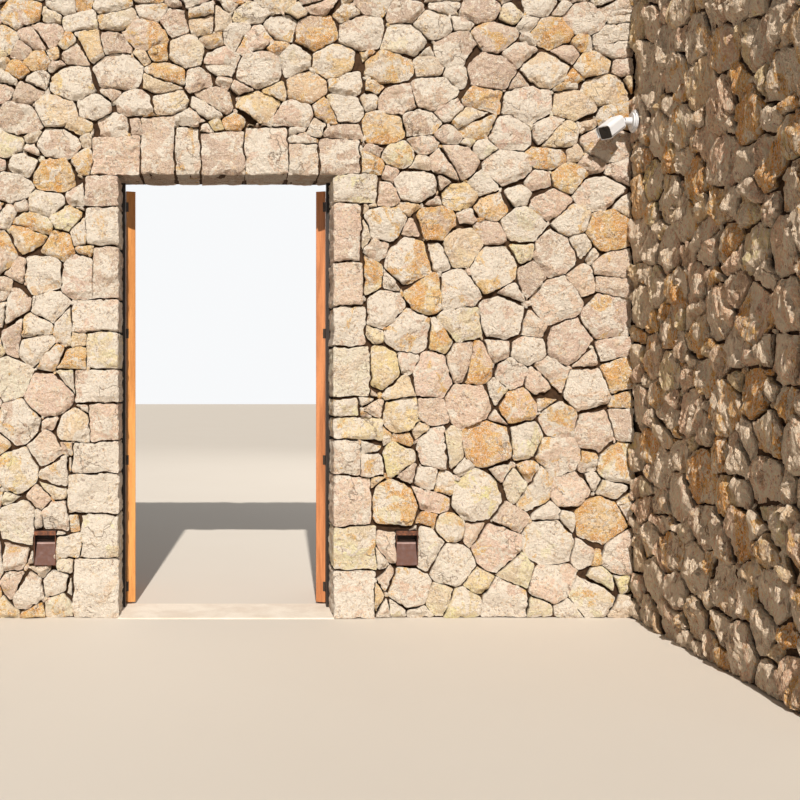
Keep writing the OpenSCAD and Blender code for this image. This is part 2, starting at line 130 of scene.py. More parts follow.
class StageSettings(bpy.types.PropertyGroup):
    """Floor, lights and viewpoint"""
    floor: colour_setting("Floor", "Colour of the plain floor", screen(208, 200, 190))
    eye_height: size_setting("Eye height", "Height of the viewpoint above the ground", 1.40)
    eye_x: FloatProperty(name="Eye across", description="Place of the viewpoint along the wall",
                         default=-0.024, unit="LENGTH")
    eye_y: FloatProperty(name="Eye distance", description="Place of the viewpoint in front of the wall",
                         default=-6.12, unit="LENGTH")
    lens: FloatProperty(name="Lens", description="Focal length on a 36 mm sensor", default=45.0,
                        min=10.0, max=200.0)
    sun_power: FloatProperty(name="Sun", description="Strength of the key light", default=5.0, min=0.0)
    sky_power: FloatProperty(name="Sky", description="Strength of the fill light", default=0.15, min=0.0)
    rear_power: FloatProperty(name="Rear lamp", description="Power of the wide lamp behind the wall",
                              default=420.0, min=0.0, unit="POWER")


SETTINGS = {
    "gateway_masonry": MasonrySettings,
    "gateway_timber": TimberSettings,
    "gateway_metal": MetalSettings,
    "gateway_stage": StageSettings,
}

# Masonry layout. A tone is the colour, its share of the stones, its ochre stains and its pale chips.
Tone = namedtuple("Tone", "share ochre chips")
TONES = {
    "grey": Tone(0.29, 0.35, 0.55),
    "pink": Tone(0.21, 0.50, 0.55),
    "pale": Tone(0.14, 0.35, 0.75),
    "cream": Tone(0.21, 0.50, 0.55),
    "yellow": Tone(0.08, 0.60, 0.45),
    "ochre": Tone(0.04, 1.00, 0.30),
    "rust": Tone(0.01, 1.30, 0.15),
}

# Radii of the beds that are thrown in turn, and how many tries each gets for a square metre
BED_SIZES = [(0.135, 72), (0.112, 240), (0.092, 360), (0.072, 360), (0.054, 240)]

# How much a radius varies, how near a border a bed's centre comes, and how many beds around it count
BED_VARIES, BED_MARGIN, NEIGHBOURS = (0.9, 1.12), 0.35, 27

# The usual area of one stone, how widely that varies, and the smallest and largest allowed
USUAL_AREA, AREA_SPREAD, AREA_LIMITS = 0.050, 0.45, (0.026, 0.110)

# A bed is cut when it is this much larger than its goal, or this slender and not smaller than the area.
# The cut is slanted, and off the middle, by these at most.
TOO_LARGE, TOO_SLENDER, SLENDER_AREA = 1.45, 2.0, 0.03
SLANT, OFF_MIDDLE = 0.5, 0.13

# From this height up the stones lie flatter, by this share
FLAT_FROM, FLATTER = 2.35, 0.35

# How far the broken parts of a stone may fall back behind its face
DEEPEST = -0.034

# The least area and width of a stone that is laid
SMALLEST_STONE, THINNEST_STONE = 0.0010, 0.020

# The least area of a stone once it is drawn back, of a bed that is laid, and of one that is settled
SMALLEST_CUT, SMALLEST_BED, SMALLEST_PIECE = 0.0005, 1e-4, 1e-5

# The shortest edge of an outline: at least this, or this share of its stone's width, and once cut
SHORTEST_EDGE, SHORTEST_SHARE, SHORTEST_CUT = 0.030, 0.17, 0.006

# Points this close are one point, or lie on a border. A tiny value keeps a division from failing.
SAME_POINT, ON_BORDER, TINY = 1e-5, 1e-4, 1e-12

# How far a bed's centre moves to the middle of its own room, and how close two beds may come
SETTLING, BED_CLOSENESS = 0.35, 0.80

# Joints as shares of the usual one, how much they taper, and how often a corner is cut off and how far
JOINT_WIDTHS, JOINT_TAPER, CORNER_CUTS, CORNER_CUT = (0.25, 0.5, 0.9, 1.4, 2.1), 0.08, 0.25, (0.03, 0.10)

# How far the corners of a stone are rounded, and never more than this share of an edge
CORNER_REACHES, CORNER_LIMIT = (0.002, 0.005, 0.010, 0.017), 0.42

# Drifts that bend the joints: how far and how often. The bites in an outline and the roughness of the
# bed are fractal noises: how often, then roughness, gap between octaves and number of octaves.
DRIFTS = ((0.016, 4.5), (0.007, 13))
BITES, BED_ROUGHNESS, BED_HEIGHT = (17, 0.55, 2.3, 4), (14, 0.8, 2.0, 3), 0.004

# How often a stone's edge is broken, how far in and how steeply, on its underside and on other sides
Break = namedtuple("Break", "share inset slope")
UNDERSIDE = Break(0.8, (0.012, 0.036), (0.45, 1.35))
OTHER_SIDE = Break(0.5, (0.008, 0.040), (0.2, 0.85))

# The fracture planes of a face: how many, where they start as a percentage, and how steep they are
PLANES, PLANE_START, PLANE_SLOPE = (1, 2, 2, 3, 3, 4), (30, 85), (0.14, 0.62)

# The points inside an outline: rows and clear edge as shares of the spacing, and their play
GRID_ROWS, GRID_EDGE, GRID_PLAY = 0.9, 0.55, 0.2

# The worn rim of a stone, how far behind its face its sides darken fully, as earth and as painted shade, and
# how far apart its noises lie
RIM, EARTH_AND_SHADE_AT, FAR_APART = 0.0065, 0.03, 90

# Pinning stones: clear of a face's borders, how far back they sit, and how much they darken, as earth and as
# painted shade in their pockets
PIN_CLEAR, PIN_DEPTH, PIN_EARTH_AND_SHADE = 0.03, (0.034, 0.046), 0.45

# Stones of the street face that catch the eye: across, up, radius and tone
STREET_LANDMARKS = [
    (-0.905, 3.188, 0.150, "yellow"), (-1.234, 2.972, 0.140, "grey"), (-0.881, 3.553, 0.095, "pale"),
    (-1.124, 3.322, 0.080, "ochre"), (-1.243, 3.277, 0.070, "ochre"), (-0.233, 3.360, 0.125, "pale"),
    (-1.003, 2.643, 0.145, "ochre"), (-0.676, 2.927, 0.120, "pink"), (1.262, 2.370, 0.125, "rust"),
    (1.414, 2.218, 0.125, "cream"), (1.604, 2.082, 0.130, "yellow"), (0.913, 1.857, 0.125, "grey"),
    (1.193, 1.934, 0.110, "ochre"), (1.370, 1.949, 0.115, "pink"), (1.559, 1.032, 0.150, "rust"),
    (0.993, 0.665, 0.165, "cream"), (1.489, 0.726, 0.155, "yellow"), (1.446, 1.279, 0.130, "pink"),
    (1.047, 1.213, 0.110, "yellow"), (2.248, 3.150, 0.140, "cream"), (2.277, 2.319, 0.140, "ochre"),
]

Face = namedtuple("Face", "origin along up width height")
Look = namedtuple("Look", "tint ochre chips")


def wall_point(face, uv, out):
    """Points on a face, given across, up and outwards, as points of the frame."""
    along, up = np.array(face.along), np.array(face.up)
    normal = np.cross(along, up)
    return np.array(face.origin) + uv[:, :1] * along + uv[:, 1:2] * up + out[:, None] * normal


def turned(way, angle):
    """A way on a face, turned by an angle."""
    return np.array([way[0] * math.cos(angle) - way[1] * math.sin(angle),
                     way[0] * math.sin(angle) + way[1] * math.cos(angle)])


def chance_way(rng):
    angle = rng.uniform(0, 2 * math.pi)
    return np.array([math.cos(angle), math.sin(angle)])


def area_of(poly):
    x, y = poly[:, 0], poly[:, 1]
    return 0.5 * float(np.sum(x * np.roll(y, -1) - np.roll(x, -1) * y))


def centre_of(poly):
    x, y = poly[:, 0], poly[:, 1]
    cross = x * np.roll(y, -1) - np.roll(x, -1) * y
    total = cross.sum() * 3
    return np.array([((x + np.roll(x, -1)) * cross).sum(), ((y + np.roll(y, -1)) * cross).sum()]) / total


def clip(poly, point, normal):
    """The part of a convex outline that lies behind the line through point, facing normal."""
    if len(poly) < 3:
        return poly
    side = (poly - point) @ normal
    if side.max() <= 0:
        return poly
    kept = []
    for i in range(len(poly)):
        j = (i + 1) % len(poly)
        if side[i] <= 0:
            kept.append(poly[i])
        if (side[i] < 0 < side[j]) or (side[j] < 0 < side[i]):
            kept.append(poly[i] + (poly[j] - poly[i]) * side[i] / (side[i] - side[j]))
    return np.array(kept).reshape(-1, 2)


def tidy_outline(poly, shortest=None, face=None):
    """The outline without its short edges, which is what gives the joints their wedges.

    A corner that lies on a border of the face stays there."""
    if shortest is None:
        shortest = max(SHORTEST_EDGE, SHORTEST_SHARE * math.sqrt(max(area_of(poly), TINY)))

    def held(p):
        if face is None:
            return 0
        return sum(abs(value - edge) < ON_BORDER for value, edge in (
            (p[0], 0), (p[0], face.width), (p[1], 0), (p[1], face.height)))

    while len(poly) > 3:
        lengths = np.linalg.norm(np.roll(poly, -1, axis=0) - poly, axis=1)
        i = int(lengths.argmin())
        if lengths[i] >= shortest:
            break
        j = (i + 1) % len(poly)
        poly = poly.copy()
        first, second = held(poly[i]), held(poly[j])
        if first == second:
            poly[i] = (poly[i] + poly[j]) / 2
        elif second > first:
            poly[i] = poly[j]
        poly = np.delete(poly, j, axis=0)
    return poly


def throw_beds(rng, width, height, fixed):
    """Centres and radii of beds thrown into a rectangle, big ones first, none too close."""
    centres = [np.array(f[:2]) for f in fixed]
    radii = [f[2] for f in fixed]
    for radius, tries in BED_SIZES:
        for _ in range(int(tries * width * height)):
            size = radius * rng.uniform(*BED_VARIES)
            margin = BED_MARGIN * size
            spot = np.array([rng.uniform(margin, width - margin), rng.uniform(margin, height - margin)])
            if centres:
                gap = np.linalg.norm(np.array(centres) - spot, axis=1)
                if (gap - BED_CLOSENESS * (np.array(radii) + size)).min() < 0:
                    continue
            centres.append(spot)
            radii.append(size)
    return np.array(centres).reshape(-1, 2), np.array(radii)


def cell_round(i, centres, radii, width, height):
    """The outline nearer to stone i than to any other, big stones reaching further."""
    poly = np.array([[0, 0], [width, 0], [width, height], [0, height]], float)
    offset = centres - centres[i]
    gap = np.linalg.norm(offset, axis=1)
    for j in np.argsort(gap)[1:NEIGHBOURS + 1]:
        along = offset[j] / gap[j]
        reach = (gap[j] ** 2 + radii[i] ** 2 - radii[j] ** 2) / (2 * gap[j])
        poly = clip(poly, centres[i] + along * reach, along)
    return poly


def split_around(poly, rect, smallest):
    """An outline cut free of a rectangle, as one main piece and what is left beside it."""
    if len(poly) < 3:
        return []
    (x0, y0), (x1, y1) = rect
    low, high = poly.min(0), poly.max(0)
    if low[0] >= x1 or high[0] <= x0 or low[1] >= y1 or high[1] <= y0:
        return [poly]
    sides = [((x0, y0), (1, 0)), ((x1, y0), (-1, 0)), ((x0, y0), (0, 1)), ((x0, y1), (0, -1))]
    sides = [(np.array(p, float), np.array(n, float)) for p, n in sides]
    parts = [clip(poly, p, n) for p, n in sides]
    areas = [area_of(part) if len(part) > 2 else 0.0 for part in parts]
    best = int(np.argmax(areas))
    found = [parts[best]]
    rest = clip(poly, sides[best][0], -sides[best][1])
    across = (2, 3) if best < 2 else (0, 1)
    for k in across:
        found.append(clip(rest, *sides[k]))
        rest = clip(rest, sides[k][0], -sides[k][1])
    found.append(clip(rest, *sides[best ^ 1]))
    return [part for part in found if len(part) > 2 and area_of(part) > smallest]


def split_bed(rng, poly):
    """A bed cut again and again across its long way, at a slant, until its stones are small enough."""
    goal = min(max(rng.lognormvariate(math.log(USUAL_AREA), AREA_SPREAD), AREA_LIMITS[0]), AREA_LIMITS[1])
    centre = centre_of(poly)
    values, ways = np.linalg.eigh(np.cov((poly - centre).T))
    area = area_of(poly)
    slender = math.sqrt(values[1] / max(values[0], TINY)) > TOO_SLENDER and area > SLENDER_AREA
    if area < TOO_LARGE * goal and not slender:
        return [poly]
    normal = turned(ways[:, 1], rng.uniform(-SLANT, SLANT))
    reach = poly @ normal
    point = centre + normal * rng.uniform(-OFF_MIDDLE, OFF_MIDDLE) * (reach.max() - reach.min())
    halves = [clip(poly, point, normal), clip(poly, point, -normal)]
    return [stone for half in halves if len(half) > 2 for stone in split_bed(rng, half)]


def thinnest(poly):
    """The narrowest width of a convex outline."""
    edges = np.roll(poly, -1, axis=0) - poly
    normals = np.stack([edges[:, 1], -edges[:, 0]], 1)
    normals /= np.linalg.norm(normals, axis=1)[:, None] + TINY
    reach = poly @ normals.T
    return float((reach.max(0) - reach.min(0)).min())


def stretched(up):
    """A height on the sheet that the outlines are drawn on, which is stretched above the doorway."""
    return up + FLATTER * max(0.0, up - FLAT_FROM)


def unstretched(up):
    return np.where(up > FLAT_FROM, (up + FLATTER * FLAT_FROM) / (1 + FLATTER), up)


def lay_courses(rng, face, taken=(), landmarks=()):
    """Outlines of a wall face, whose stones lie flatter and more level toward the top."""
    sheet = face._replace(height=stretched(face.height))
    taken = [((x0, stretched(z0)), (x1, stretched(z1))) for (x0, z0), (x1, z1) in taken]
    marks = [(x, stretched(z), r, tone) for x, z, r, tone in landmarks]
    outlines = lay_out(rng, sheet, taken, marks)
    return [(np.stack([poly[:, 0], unstretched(poly[:, 1])], 1), tone) for poly, tone in outlines]


def lay_out(rng, face, taken=(), landmarks=()):
    """Outlines of the rubble stones of one face, with the tone of each landmark."""
    centres, radii = throw_beds(rng, face.width, face.height, landmarks)

    def pieces(i, smallest, smallest_left):
        parts = [cell_round(i, centres, radii, face.width, face.height)]
        for rect in taken:
            parts = [q for p in parts for q in split_around(p, rect, smallest)]
        return [p for p in parts if len(p) > 2 and area_of(p) > smallest_left]

    for i in range(len(landmarks), len(centres)):
        parts = pieces(i, 0.0, SMALLEST_PIECE)
        if parts:
            centres[i] += SETTLING * (centre_of(max(parts, key=area_of)) - centres[i])
    found = []
    for i in range(len(centres)):
        tone = landmarks[i][3] if i < len(landmarks) else None
        parts = pieces(i, SMALLEST_STONE, SMALLEST_BED)
        if tone is None:
            parts = [q for p in parts for q in split_bed(rng, p)]
        for part in parts:
            part = tidy_outline(part, face=face)
            if area_of(part) > SMALLEST_STONE and thinnest(part) > THINNEST_STONE:
                found.append((part, tone))
    return found


# Stones

def new_piece(name, data):
    """An object in the scene, with its data."""
    piece = bpy.data.objects.new(name, data)
    bpy.context.scene.collection.objects.link(piece)
    return piece


def look_piece(name, points, faces, tints, spots, shifts):
    """A piece with the values that the stone finish reads at each of its points."""
    mesh = bpy.data.meshes.new(name)
    mesh.from_pydata(points, [], faces)
    for key, kind, field, rows in (("stone_tint", "FLOAT_COLOR", "color", tints),
                                   ("stone_spots", "FLOAT_VECTOR", "vector", spots),
                                   ("stone_shift", "FLOAT_VECTOR", "vector", shifts)):
        layer = mesh.attributes.new(key, kind, "POINT")
        layer.data.foreach_set(field, np.array(rows, np.float32).ravel())
    return new_piece(name, mesh)


class Heap:
    """Stones that are gathered into one mesh, as rows of points, tints, spots and shifts."""

    def __init__(self):
        self.faces, self.count = [], 0
        self.rows = ([], [], [], [])

    def add(self, points, faces, look, earth_and_shade, shift):
        n = len(points)
        self.faces.extend([tuple(i + self.count for i in f) for f in faces])
        self.count += n
        spots = np.stack([np.full(n, look.ochre), np.full(n, look.chips), earth_and_shade], 1)
        for rows, own in zip(self.rows, (points, np.tile([*look.tint, 1.0], (n, 1)), spots,
                                         np.tile(shift, (n, 1)))):
            rows.append(own)

    def make(self, name):
        points, tints, spots, shifts = (np.concatenate(rows) for rows in self.rows)
        return look_piece(name, points.tolist(), self.faces, tints, spots, shifts)


def stone_look(rng, settings, tone=None, up=1.6):
    """The colour and stains of one stone, from a named tone or from the shares of all.

    up is its height in the wall; the stones are darker toward the top."""
    if tone is None:
        tone = rng.choices(list(TONES), [t.share for t in TONES.values()])[0]
    kind = TONES[tone]
    light = rng.uniform(0.86, 1.20) * (1.23 - 0.080 * up)
    tint = [min(1.0, c * light * rng.uniform(0.98, 1.02)) for c in getattr(settings, tone)]
    stained = rng.choice((0.1, 0.4, 0.7, 1.1, 1.6)) if kind.ochre < 1 else rng.uniform(0.8, 1.1)
    return Look(tint, min(0.95, kind.ochre * stained), min(1.0, kind.chips * rng.uniform(0.2, 1.9)))


def shrink(rng, poly, joint, free):
    """The outline drawn back unevenly from each edge and some corners, but not at the wall's ends."""
    shrunk = poly
    for i in range(len(poly)):
        a, b = poly[i], poly[(i + 1) % len(poly)]
        edge = b - a
        turn = rng.uniform(-JOINT_TAPER, JOINT_TAPER)
        back = joint / 2 * rng.choice(JOINT_WIDTHS) * rng.uniform(0.8, 1.2)
        if free is not None and free((a + b) / 2):
            turn, back = 0.0, rng.uniform(0.0, 0.003)
        normal = np.array([edge[1], -edge[0]]) / (np.linalg.norm(edge) + TINY)
        tilted = normal + turn * np.array([-normal[1], normal[0]])
        shrunk = clip(shrunk, (a + b) / 2 - normal * back, tilted)
    size = math.sqrt(area_of(poly))
    for corner in poly:
        if rng.random() < CORNER_CUTS and not (free is not None and free(corner)):
            inward = centre_of(poly) - corner
            inward /= np.linalg.norm(inward)
            cut = turned(inward, rng.uniform(-0.6, 0.6))
            shrunk = clip(shrunk, corner + inward * rng.uniform(*CORNER_CUT) * size, -cut)
    return shrunk


def round_corners(rng, poly, spacing, sharpness):
    """The outline with its corners rounded by chance, as evenly spaced points."""
    points = []
    for i in range(len(poly)):
        here = poly[i]
        reach = rng.choice(CORNER_REACHES) * sharpness

        def towards(other):
            length = np.linalg.norm(other - here)
            return here + (other - here) / length * min(reach, CORNER_LIMIT * length)

        start, end = towards(poly[i - 1]), towards(poly[(i + 1) % len(poly)])
        for t in (0.0, 0.33, 0.67, 1.0):
            points.append((1 - t) ** 2 * start + 2 * t * (1 - t) * here + t * t * end)
    points = np.array(points + points[:1])
    steps = np.linalg.norm(np.diff(points, axis=0), axis=1)
    along = np.concatenate([[0], np.cumsum(steps)])
    count = max(10, round(along[-1] / spacing))
    marks = np.arange(count) * along[-1] / count
    return np.stack([np.interp(marks, along, points[:, k]) for k in (0, 1)], 1)


def outward(ring):
    """Unit vectors that point out of a ring, one at each of its points."""
    edge = np.roll(ring, -1, axis=0) - np.roll(ring, 1, axis=0)
    normal = np.stack([edge[:, 1], -edge[:, 0]], 1)
    return normal / (np.linalg.norm(normal, axis=1)[:, None] + TINY)


def distance_to_ring(points, ring):
    a, b = ring, np.roll(ring, -1, axis=0)
    edge = b - a
    t = ((points[:, None, :] - a[None]) * edge[None]).sum(2) / ((edge ** 2).sum(1) + TINY)
    nearest = a[None] + np.clip(t, 0, 1)[..., None] * edge[None]
    return np.linalg.norm(points[:, None, :] - nearest, axis=2).min(1)


def inside_ring(points, ring):
    """Which points lie inside a ring, by counting the edges that a ray crosses."""
    a, b = ring, np.roll(ring, -1, axis=0)
    x, y = points[:, :1], points[:, 1:]
    crosses = (a[None, :, 1] > y) != (b[None, :, 1] > y)
    rise = b[None, :, 1] - a[None, :, 1]
    where = a[None, :, 0] + (y - a[None, :, 1]) * (b - a)[None, :, 0] / np.where(rise == 0, TINY, rise)
    return (crosses & (x < where)).sum(1) % 2 == 1


def wander(face, ring, reach=0.07):
    """A ring bent by a drift that all stones share, so that the joints curve and keep their width."""
    points = wall_point(face, ring, np.zeros(len(ring)))
    room = np.minimum(points[:, 2], WALL_TOP - points[:, 2])
    room = np.minimum(room, points[:, 0] - LEFT_LOW[0])
    room = np.minimum(room, points[:, 1] - RETURN_LOW[1])
    for low, high in CALM_BOXES:
        away = np.maximum(0, np.maximum(low - points, points - high))
        room = np.minimum(room, np.linalg.norm(away, axis=1))
    drift = np.array([sum((far * noise.noise_vector(Vector(p) * often) for far, often in DRIFTS), Vector())
                      for p in points])
    flat = np.stack([drift @ np.array(face.along), drift @ np.array(face.up)], 1)
    return ring + flat * np.clip(room / reach, 0, 1)[:, None]


def chip_outline(ring, shift, amount):
    """Small bites and bumps along the outline of a stone."""
    often, *kind = BITES
    rough = [noise.fractal(Vector((p[0] * often + shift[0], p[1] * often + shift[1], shift[2])), *kind)
             for p in ring]
    bite = np.clip(rough, -1.0, 0.25)
    return ring + outward(ring) * (bite * amount)[:, None]


def split_face(rng, points, poly, edge_gap, boldness, rim):
    """Height of a split stone face: a tilt, broken edges, fracture planes, a step and worn rims."""
    centre = points.mean(0)
    out = (points - centre) @ chance_way(rng) * rng.uniform(0.0, 0.13) * boldness
    for i in range(len(poly)):
        a, edge = poly[i], poly[(i + 1) % len(poly)] - poly[i]
        normal = np.array([-edge[1], edge[0]]) / (np.linalg.norm(edge) + TINY)
        kind = UNDERSIDE if normal[1] > 0.35 else OTHER_SIDE
        if rng.random() > kind.share:
            continue
        inset = rng.uniform(*kind.inset)
        slope = rng.uniform(*kind.slope) * boldness
        out -= slope * np.maximum(0, inset - (points - a) @ normal)
    for _ in range(rng.choice(PLANES)):
        across = points @ chance_way(rng)
        start = np.percentile(across, rng.uniform(*PLANE_START))
        out -= rng.uniform(*PLANE_SLOPE) * boldness * np.maximum(0, across - start)
    if rng.random() < 0.45:
        line = (points - centre) @ chance_way(rng) - rng.uniform(-0.05, 0.05)
        out -= rng.uniform(0.002, 0.008) * boldness / (1 + np.exp(-np.clip(line / 0.004, -30, 30)))
    worn = rng.uniform(0.7, 1.2) * rim
    out -= rng.uniform(0.4, 0.8) * rim * np.maximum(0, 1 - edge_gap / worn) ** 2
    out -= np.percentile(out, 88)
    return np.where(out < 0, DEEPEST * (1 - np.exp(np.minimum(out, 0) / -DEEPEST)), out)


def lay_stone(heap, rng, face, poly, look, spacing, depth, lift=None, boldness=1.0, sharpness=1.0,
              back_spacing=0.035, rim=0.011, bare=False):
    """Adds one stone with a split face, worn edges and sides that run back into the wall.

    The sides darken with depth toward the joint colour, as earth and as painted shade. The sides of a bare
    stone show at a free edge of the wall, so they darken little. bare may also say how far they darken
    behind each point of the outline, as on the reveal side of a jamb stone."""
    shift = np.array([rng.uniform(0, FAR_APART) for _ in range(3)])
    ring = chip_outline(wander(face, round_corners(rng, poly, spacing, sharpness)), shift, RIM)
    inner = ring - outward(ring) * RIM
    low, high = ring.min(0), ring.max(0)
    turn = rng.uniform(0, math.pi)
    spin = np.array([[math.cos(turn), -math.sin(turn)], [math.sin(turn), math.cos(turn)]])
    reach = np.linalg.norm(high - low) / 2
    rows = np.arange(-reach, reach, spacing * GRID_ROWS)
    grid = np.array([(x + (k % 2) * spacing / 2, y) for k, y in enumerate(rows)
                     for x in np.arange(-reach, reach, spacing)]).reshape(-1, 2)
    play = [[rng.uniform(-GRID_PLAY, GRID_PLAY), rng.uniform(-GRID_PLAY, GRID_PLAY)] for _ in grid]
    grid += np.array(play) * spacing
    grid = grid @ spin.T + (low + high) / 2
    grid = grid[inside_ring(grid, ring)]
    if len(grid):
        grid = grid[distance_to_ring(grid, ring) > RIM + GRID_EDGE * spacing]
    flat_points = np.concatenate([ring, inner, grid])
    count = len(ring)
    outline = [(i, (i + 1) % count) for i in range(count)]
    cut = delaunay_2d_cdt([Vector(p) for p in flat_points], outline, [], 1, 1e-7)
    flat_points = np.array([tuple(p) for p in cut[0]])
    origin = {}
    for new, olds in enumerate(cut[3]):
        for old in olds:
            origin.setdefault(old, new)
    border = [origin[i] for i in range(count)]
    edge_gap = distance_to_ring(flat_points, ring)
    out = split_face(rng, flat_points, poly, edge_gap, boldness, rim)
    out += rng.uniform(-0.012, 0.006) if lift is None else lift
    points = [wall_point(face, flat_points, out)]
    faces = [f if turns_left(flat_points, f) else f[::-1] for f in map(tuple, cut[2])]
    # The face itself gets little of the earth and painted shade, too little to darken it; the sides get more
    # with depth.
    earth_and_shade = [np.clip(-out / EARTH_AND_SHADE_AT, 0, 0.15)]
    levels = max(1, round(depth / back_spacing))
    last, total = border, len(flat_points)
    ring_out = out[border]
    earth_and_shade_cap = bare(flat_points[border]) if callable(bare) else np.full(count, 0.2 if bare else 1.0)
    taper = rng.uniform(0.01, 0.05) if depth < 0.08 else 0.004
    for k in range(1, levels + 1):
        back = depth * k / levels
        drawn = flat_points[border] - outward(ring) * (taper * back)
        points.append(wall_point(face, drawn, ring_out - back))
        earth_and_shade.append(np.minimum(earth_and_shade_cap, back / EARTH_AND_SHADE_AT))
        level = list(range(total, total + count))
        faces += [(last[i], level[i], level[(i + 1) % count], last[(i + 1) % count]) for i in range(count)]
        last, total = level, total + count
    points.append(wall_point(face, flat_points[border].mean(0)[None], np.array([ring_out.mean() - depth])))
    earth_and_shade.append(np.ones(1))
    faces += [(last[i], total, last[(i + 1) % count]) for i in range(count)]
    heap.add(np.concatenate(points), faces, look, np.concatenate(earth_and_shade), shift)


def turns_left(points, f):
    a, b, c = (points[i] for i in f[:3])
    return (b[0] - a[0]) * (c[1] - a[1]) - (b[1] - a[1]) * (c[0] - a[0]) > 0


def rough_block(low, high, spacing):
    """A box as an even grid of points on its faces, with its corners shared."""
    mesh = bmesh.new()
    counts = [max(2, round((h - l) / spacing)) for l, h in zip(low, high)]
    keys = {}

    def vertex(i, j, k):
        if (i, j, k) not in keys:
            place = [low[a] + (high[a] - low[a]) * n / counts[a] for a, n in enumerate((i, j, k))]
            keys[i, j, k] = mesh.verts.new(place)
        return keys[i, j, k]

    for axis in range(3):
        u, v = [a for a in range(3) if a != axis]
        for end in (0, counts[axis]):
            for i in range(counts[u]):
                for j in range(counts[v]):
                    spot = [[0, 0, 0] for _ in range(4)]
                    for corner, (di, dj) in zip(spot, ((0, 0), (1, 0), (1, 1), (0, 1))):
                        corner[axis], corner[u], corner[v] = end, i + di, j + dj
                    mesh.faces.new([vertex(*corner) for corner in spot])
    bmesh.ops.recalc_face_normals(mesh, faces=mesh.faces)
    return mesh


# Nodes

def put(tree, kind, settings=None, inputs=None):
    """Adds a node, sets its properties, and fills or joins its inputs."""
    node = tree.nodes.new(kind)
    for key, value in (settings or {}).items():
        setattr(node, key, value)
    for key, value in (inputs or {}).items():
        if isinstance(value, bpy.types.NodeSocket):
            tree.links.new(value, node.inputs[key])
        else:
            node.inputs[key].default_value = value
    return node


def maths(operation):
    """What joins two values of a tree by one operation."""
    def join(tree, a, b=0.0, clamp=False):
        node = put(tree, "ShaderNodeMath", {"operation": operation, "use_clamp": clamp}, {0: a, 1: b})
        return node.outputs[0]
    return join


plus, less, times, divided = (maths(name) for name in ("ADD", "SUBTRACT", "MULTIPLY", "DIVIDE"))
greater, sine, whole = (maths(name) for name in ("MAXIMUM", "SINE", "FLOOR"))


def vector_node(tree, operation, a, b):
    return put(tree, "ShaderNodeVectorMath", {"operation": operation}, {0: a, 1: b}).outputs[0]


def scaled(tree, vector, amount):
    return put(tree, "ShaderNodeVectorMath", {"operation": "SCALE"}, {0: vector, "Scale": amount}).outputs[0]


def parts_of(tree, vector):
    """The values of a vector across, along and up."""
    return put(tree, "ShaderNodeSeparateXYZ", inputs={0: vector}).outputs


def mapped(tree, place, **moves):
    """A place after a mapping node's Rotation or Scale."""
    return put(tree, "ShaderNodeMapping", {"vector_type": "POINT"}, {"Vector": place, **moves}).outputs[0]


def noise_at(tree, place, scale, detail=3.0, roughness=0.55, distortion=0.0, coloured=False):
    """A noise as one value, or as a colour."""
    return put(tree, "ShaderNodeTexNoise", inputs={
        "Vector": place, "Scale": scale, "Detail": detail, "Roughness": roughness,
        "Distortion": distortion}).outputs[1 if coloured else 0]


def unevenness(tree, place, scale, detail, roughness, height):
    """A noise about zero, as high as is said."""
    return times(tree, less(tree, noise_at(tree, place, scale, detail, roughness), 0.5), height)


# Geometry Nodes. A stone's streaks lean by this much at most, and its fracture planes and breaks are
# this many times as close as its swells.
STREAK_LEAN, PLANES_PER_SWELL, BREAKS_PER_SWELL = 0.45, 1.5, 3.2


def new_tree(name, sizes, counts=()):
    """A geometry tree for a geometry, named sizes and counts and a material, and the socket of each."""
    tree = bpy.data.node_groups.new(name, "GeometryNodeTree")
    tree.interface.new_socket("Geometry", in_out="INPUT", socket_type="NodeSocketGeometry")
    kinds = {**dict.fromkeys(sizes, "Float"), **dict.fromkeys(counts, "Int"), "Material": "Material"}
    sockets = {}
    for key, kind in kinds.items():
        made = tree.interface.new_socket(key, in_out="INPUT", socket_type="NodeSocket" + kind)
        sockets[key] = made.identifier
    tree.interface.new_socket("Geometry", in_out="OUTPUT", socket_type="NodeSocketGeometry")
    return tree, sockets, tree.nodes.new("NodeGroupInput").outputs


def finish_tree(tree, geometry, amount, material):
    """Moves points along their normals by an amount, and ends in Realize Instances and Set Material."""
    offset = scaled(tree, put(tree, "GeometryNodeInputNormal").outputs[0], amount)
    moved = put(tree, "GeometryNodeSetPosition", inputs={"Geometry": geometry, "Offset": offset})
    real = put(tree, "GeometryNodeRealizeInstances", inputs={"Geometry": moved.outputs[0]})
    coat = put(tree, "GeometryNodeSetMaterial", inputs={"Geometry": real.outputs[0], "Material": material})
    tree.links.new(coat.outputs[0], tree.nodes.new("NodeGroupOutput").inputs[0])


def named(tree, name):
    node = put(tree, "GeometryNodeInputNamedAttribute", {"data_type": "FLOAT_VECTOR"}, {"Name": name})
    return node.outputs[0]


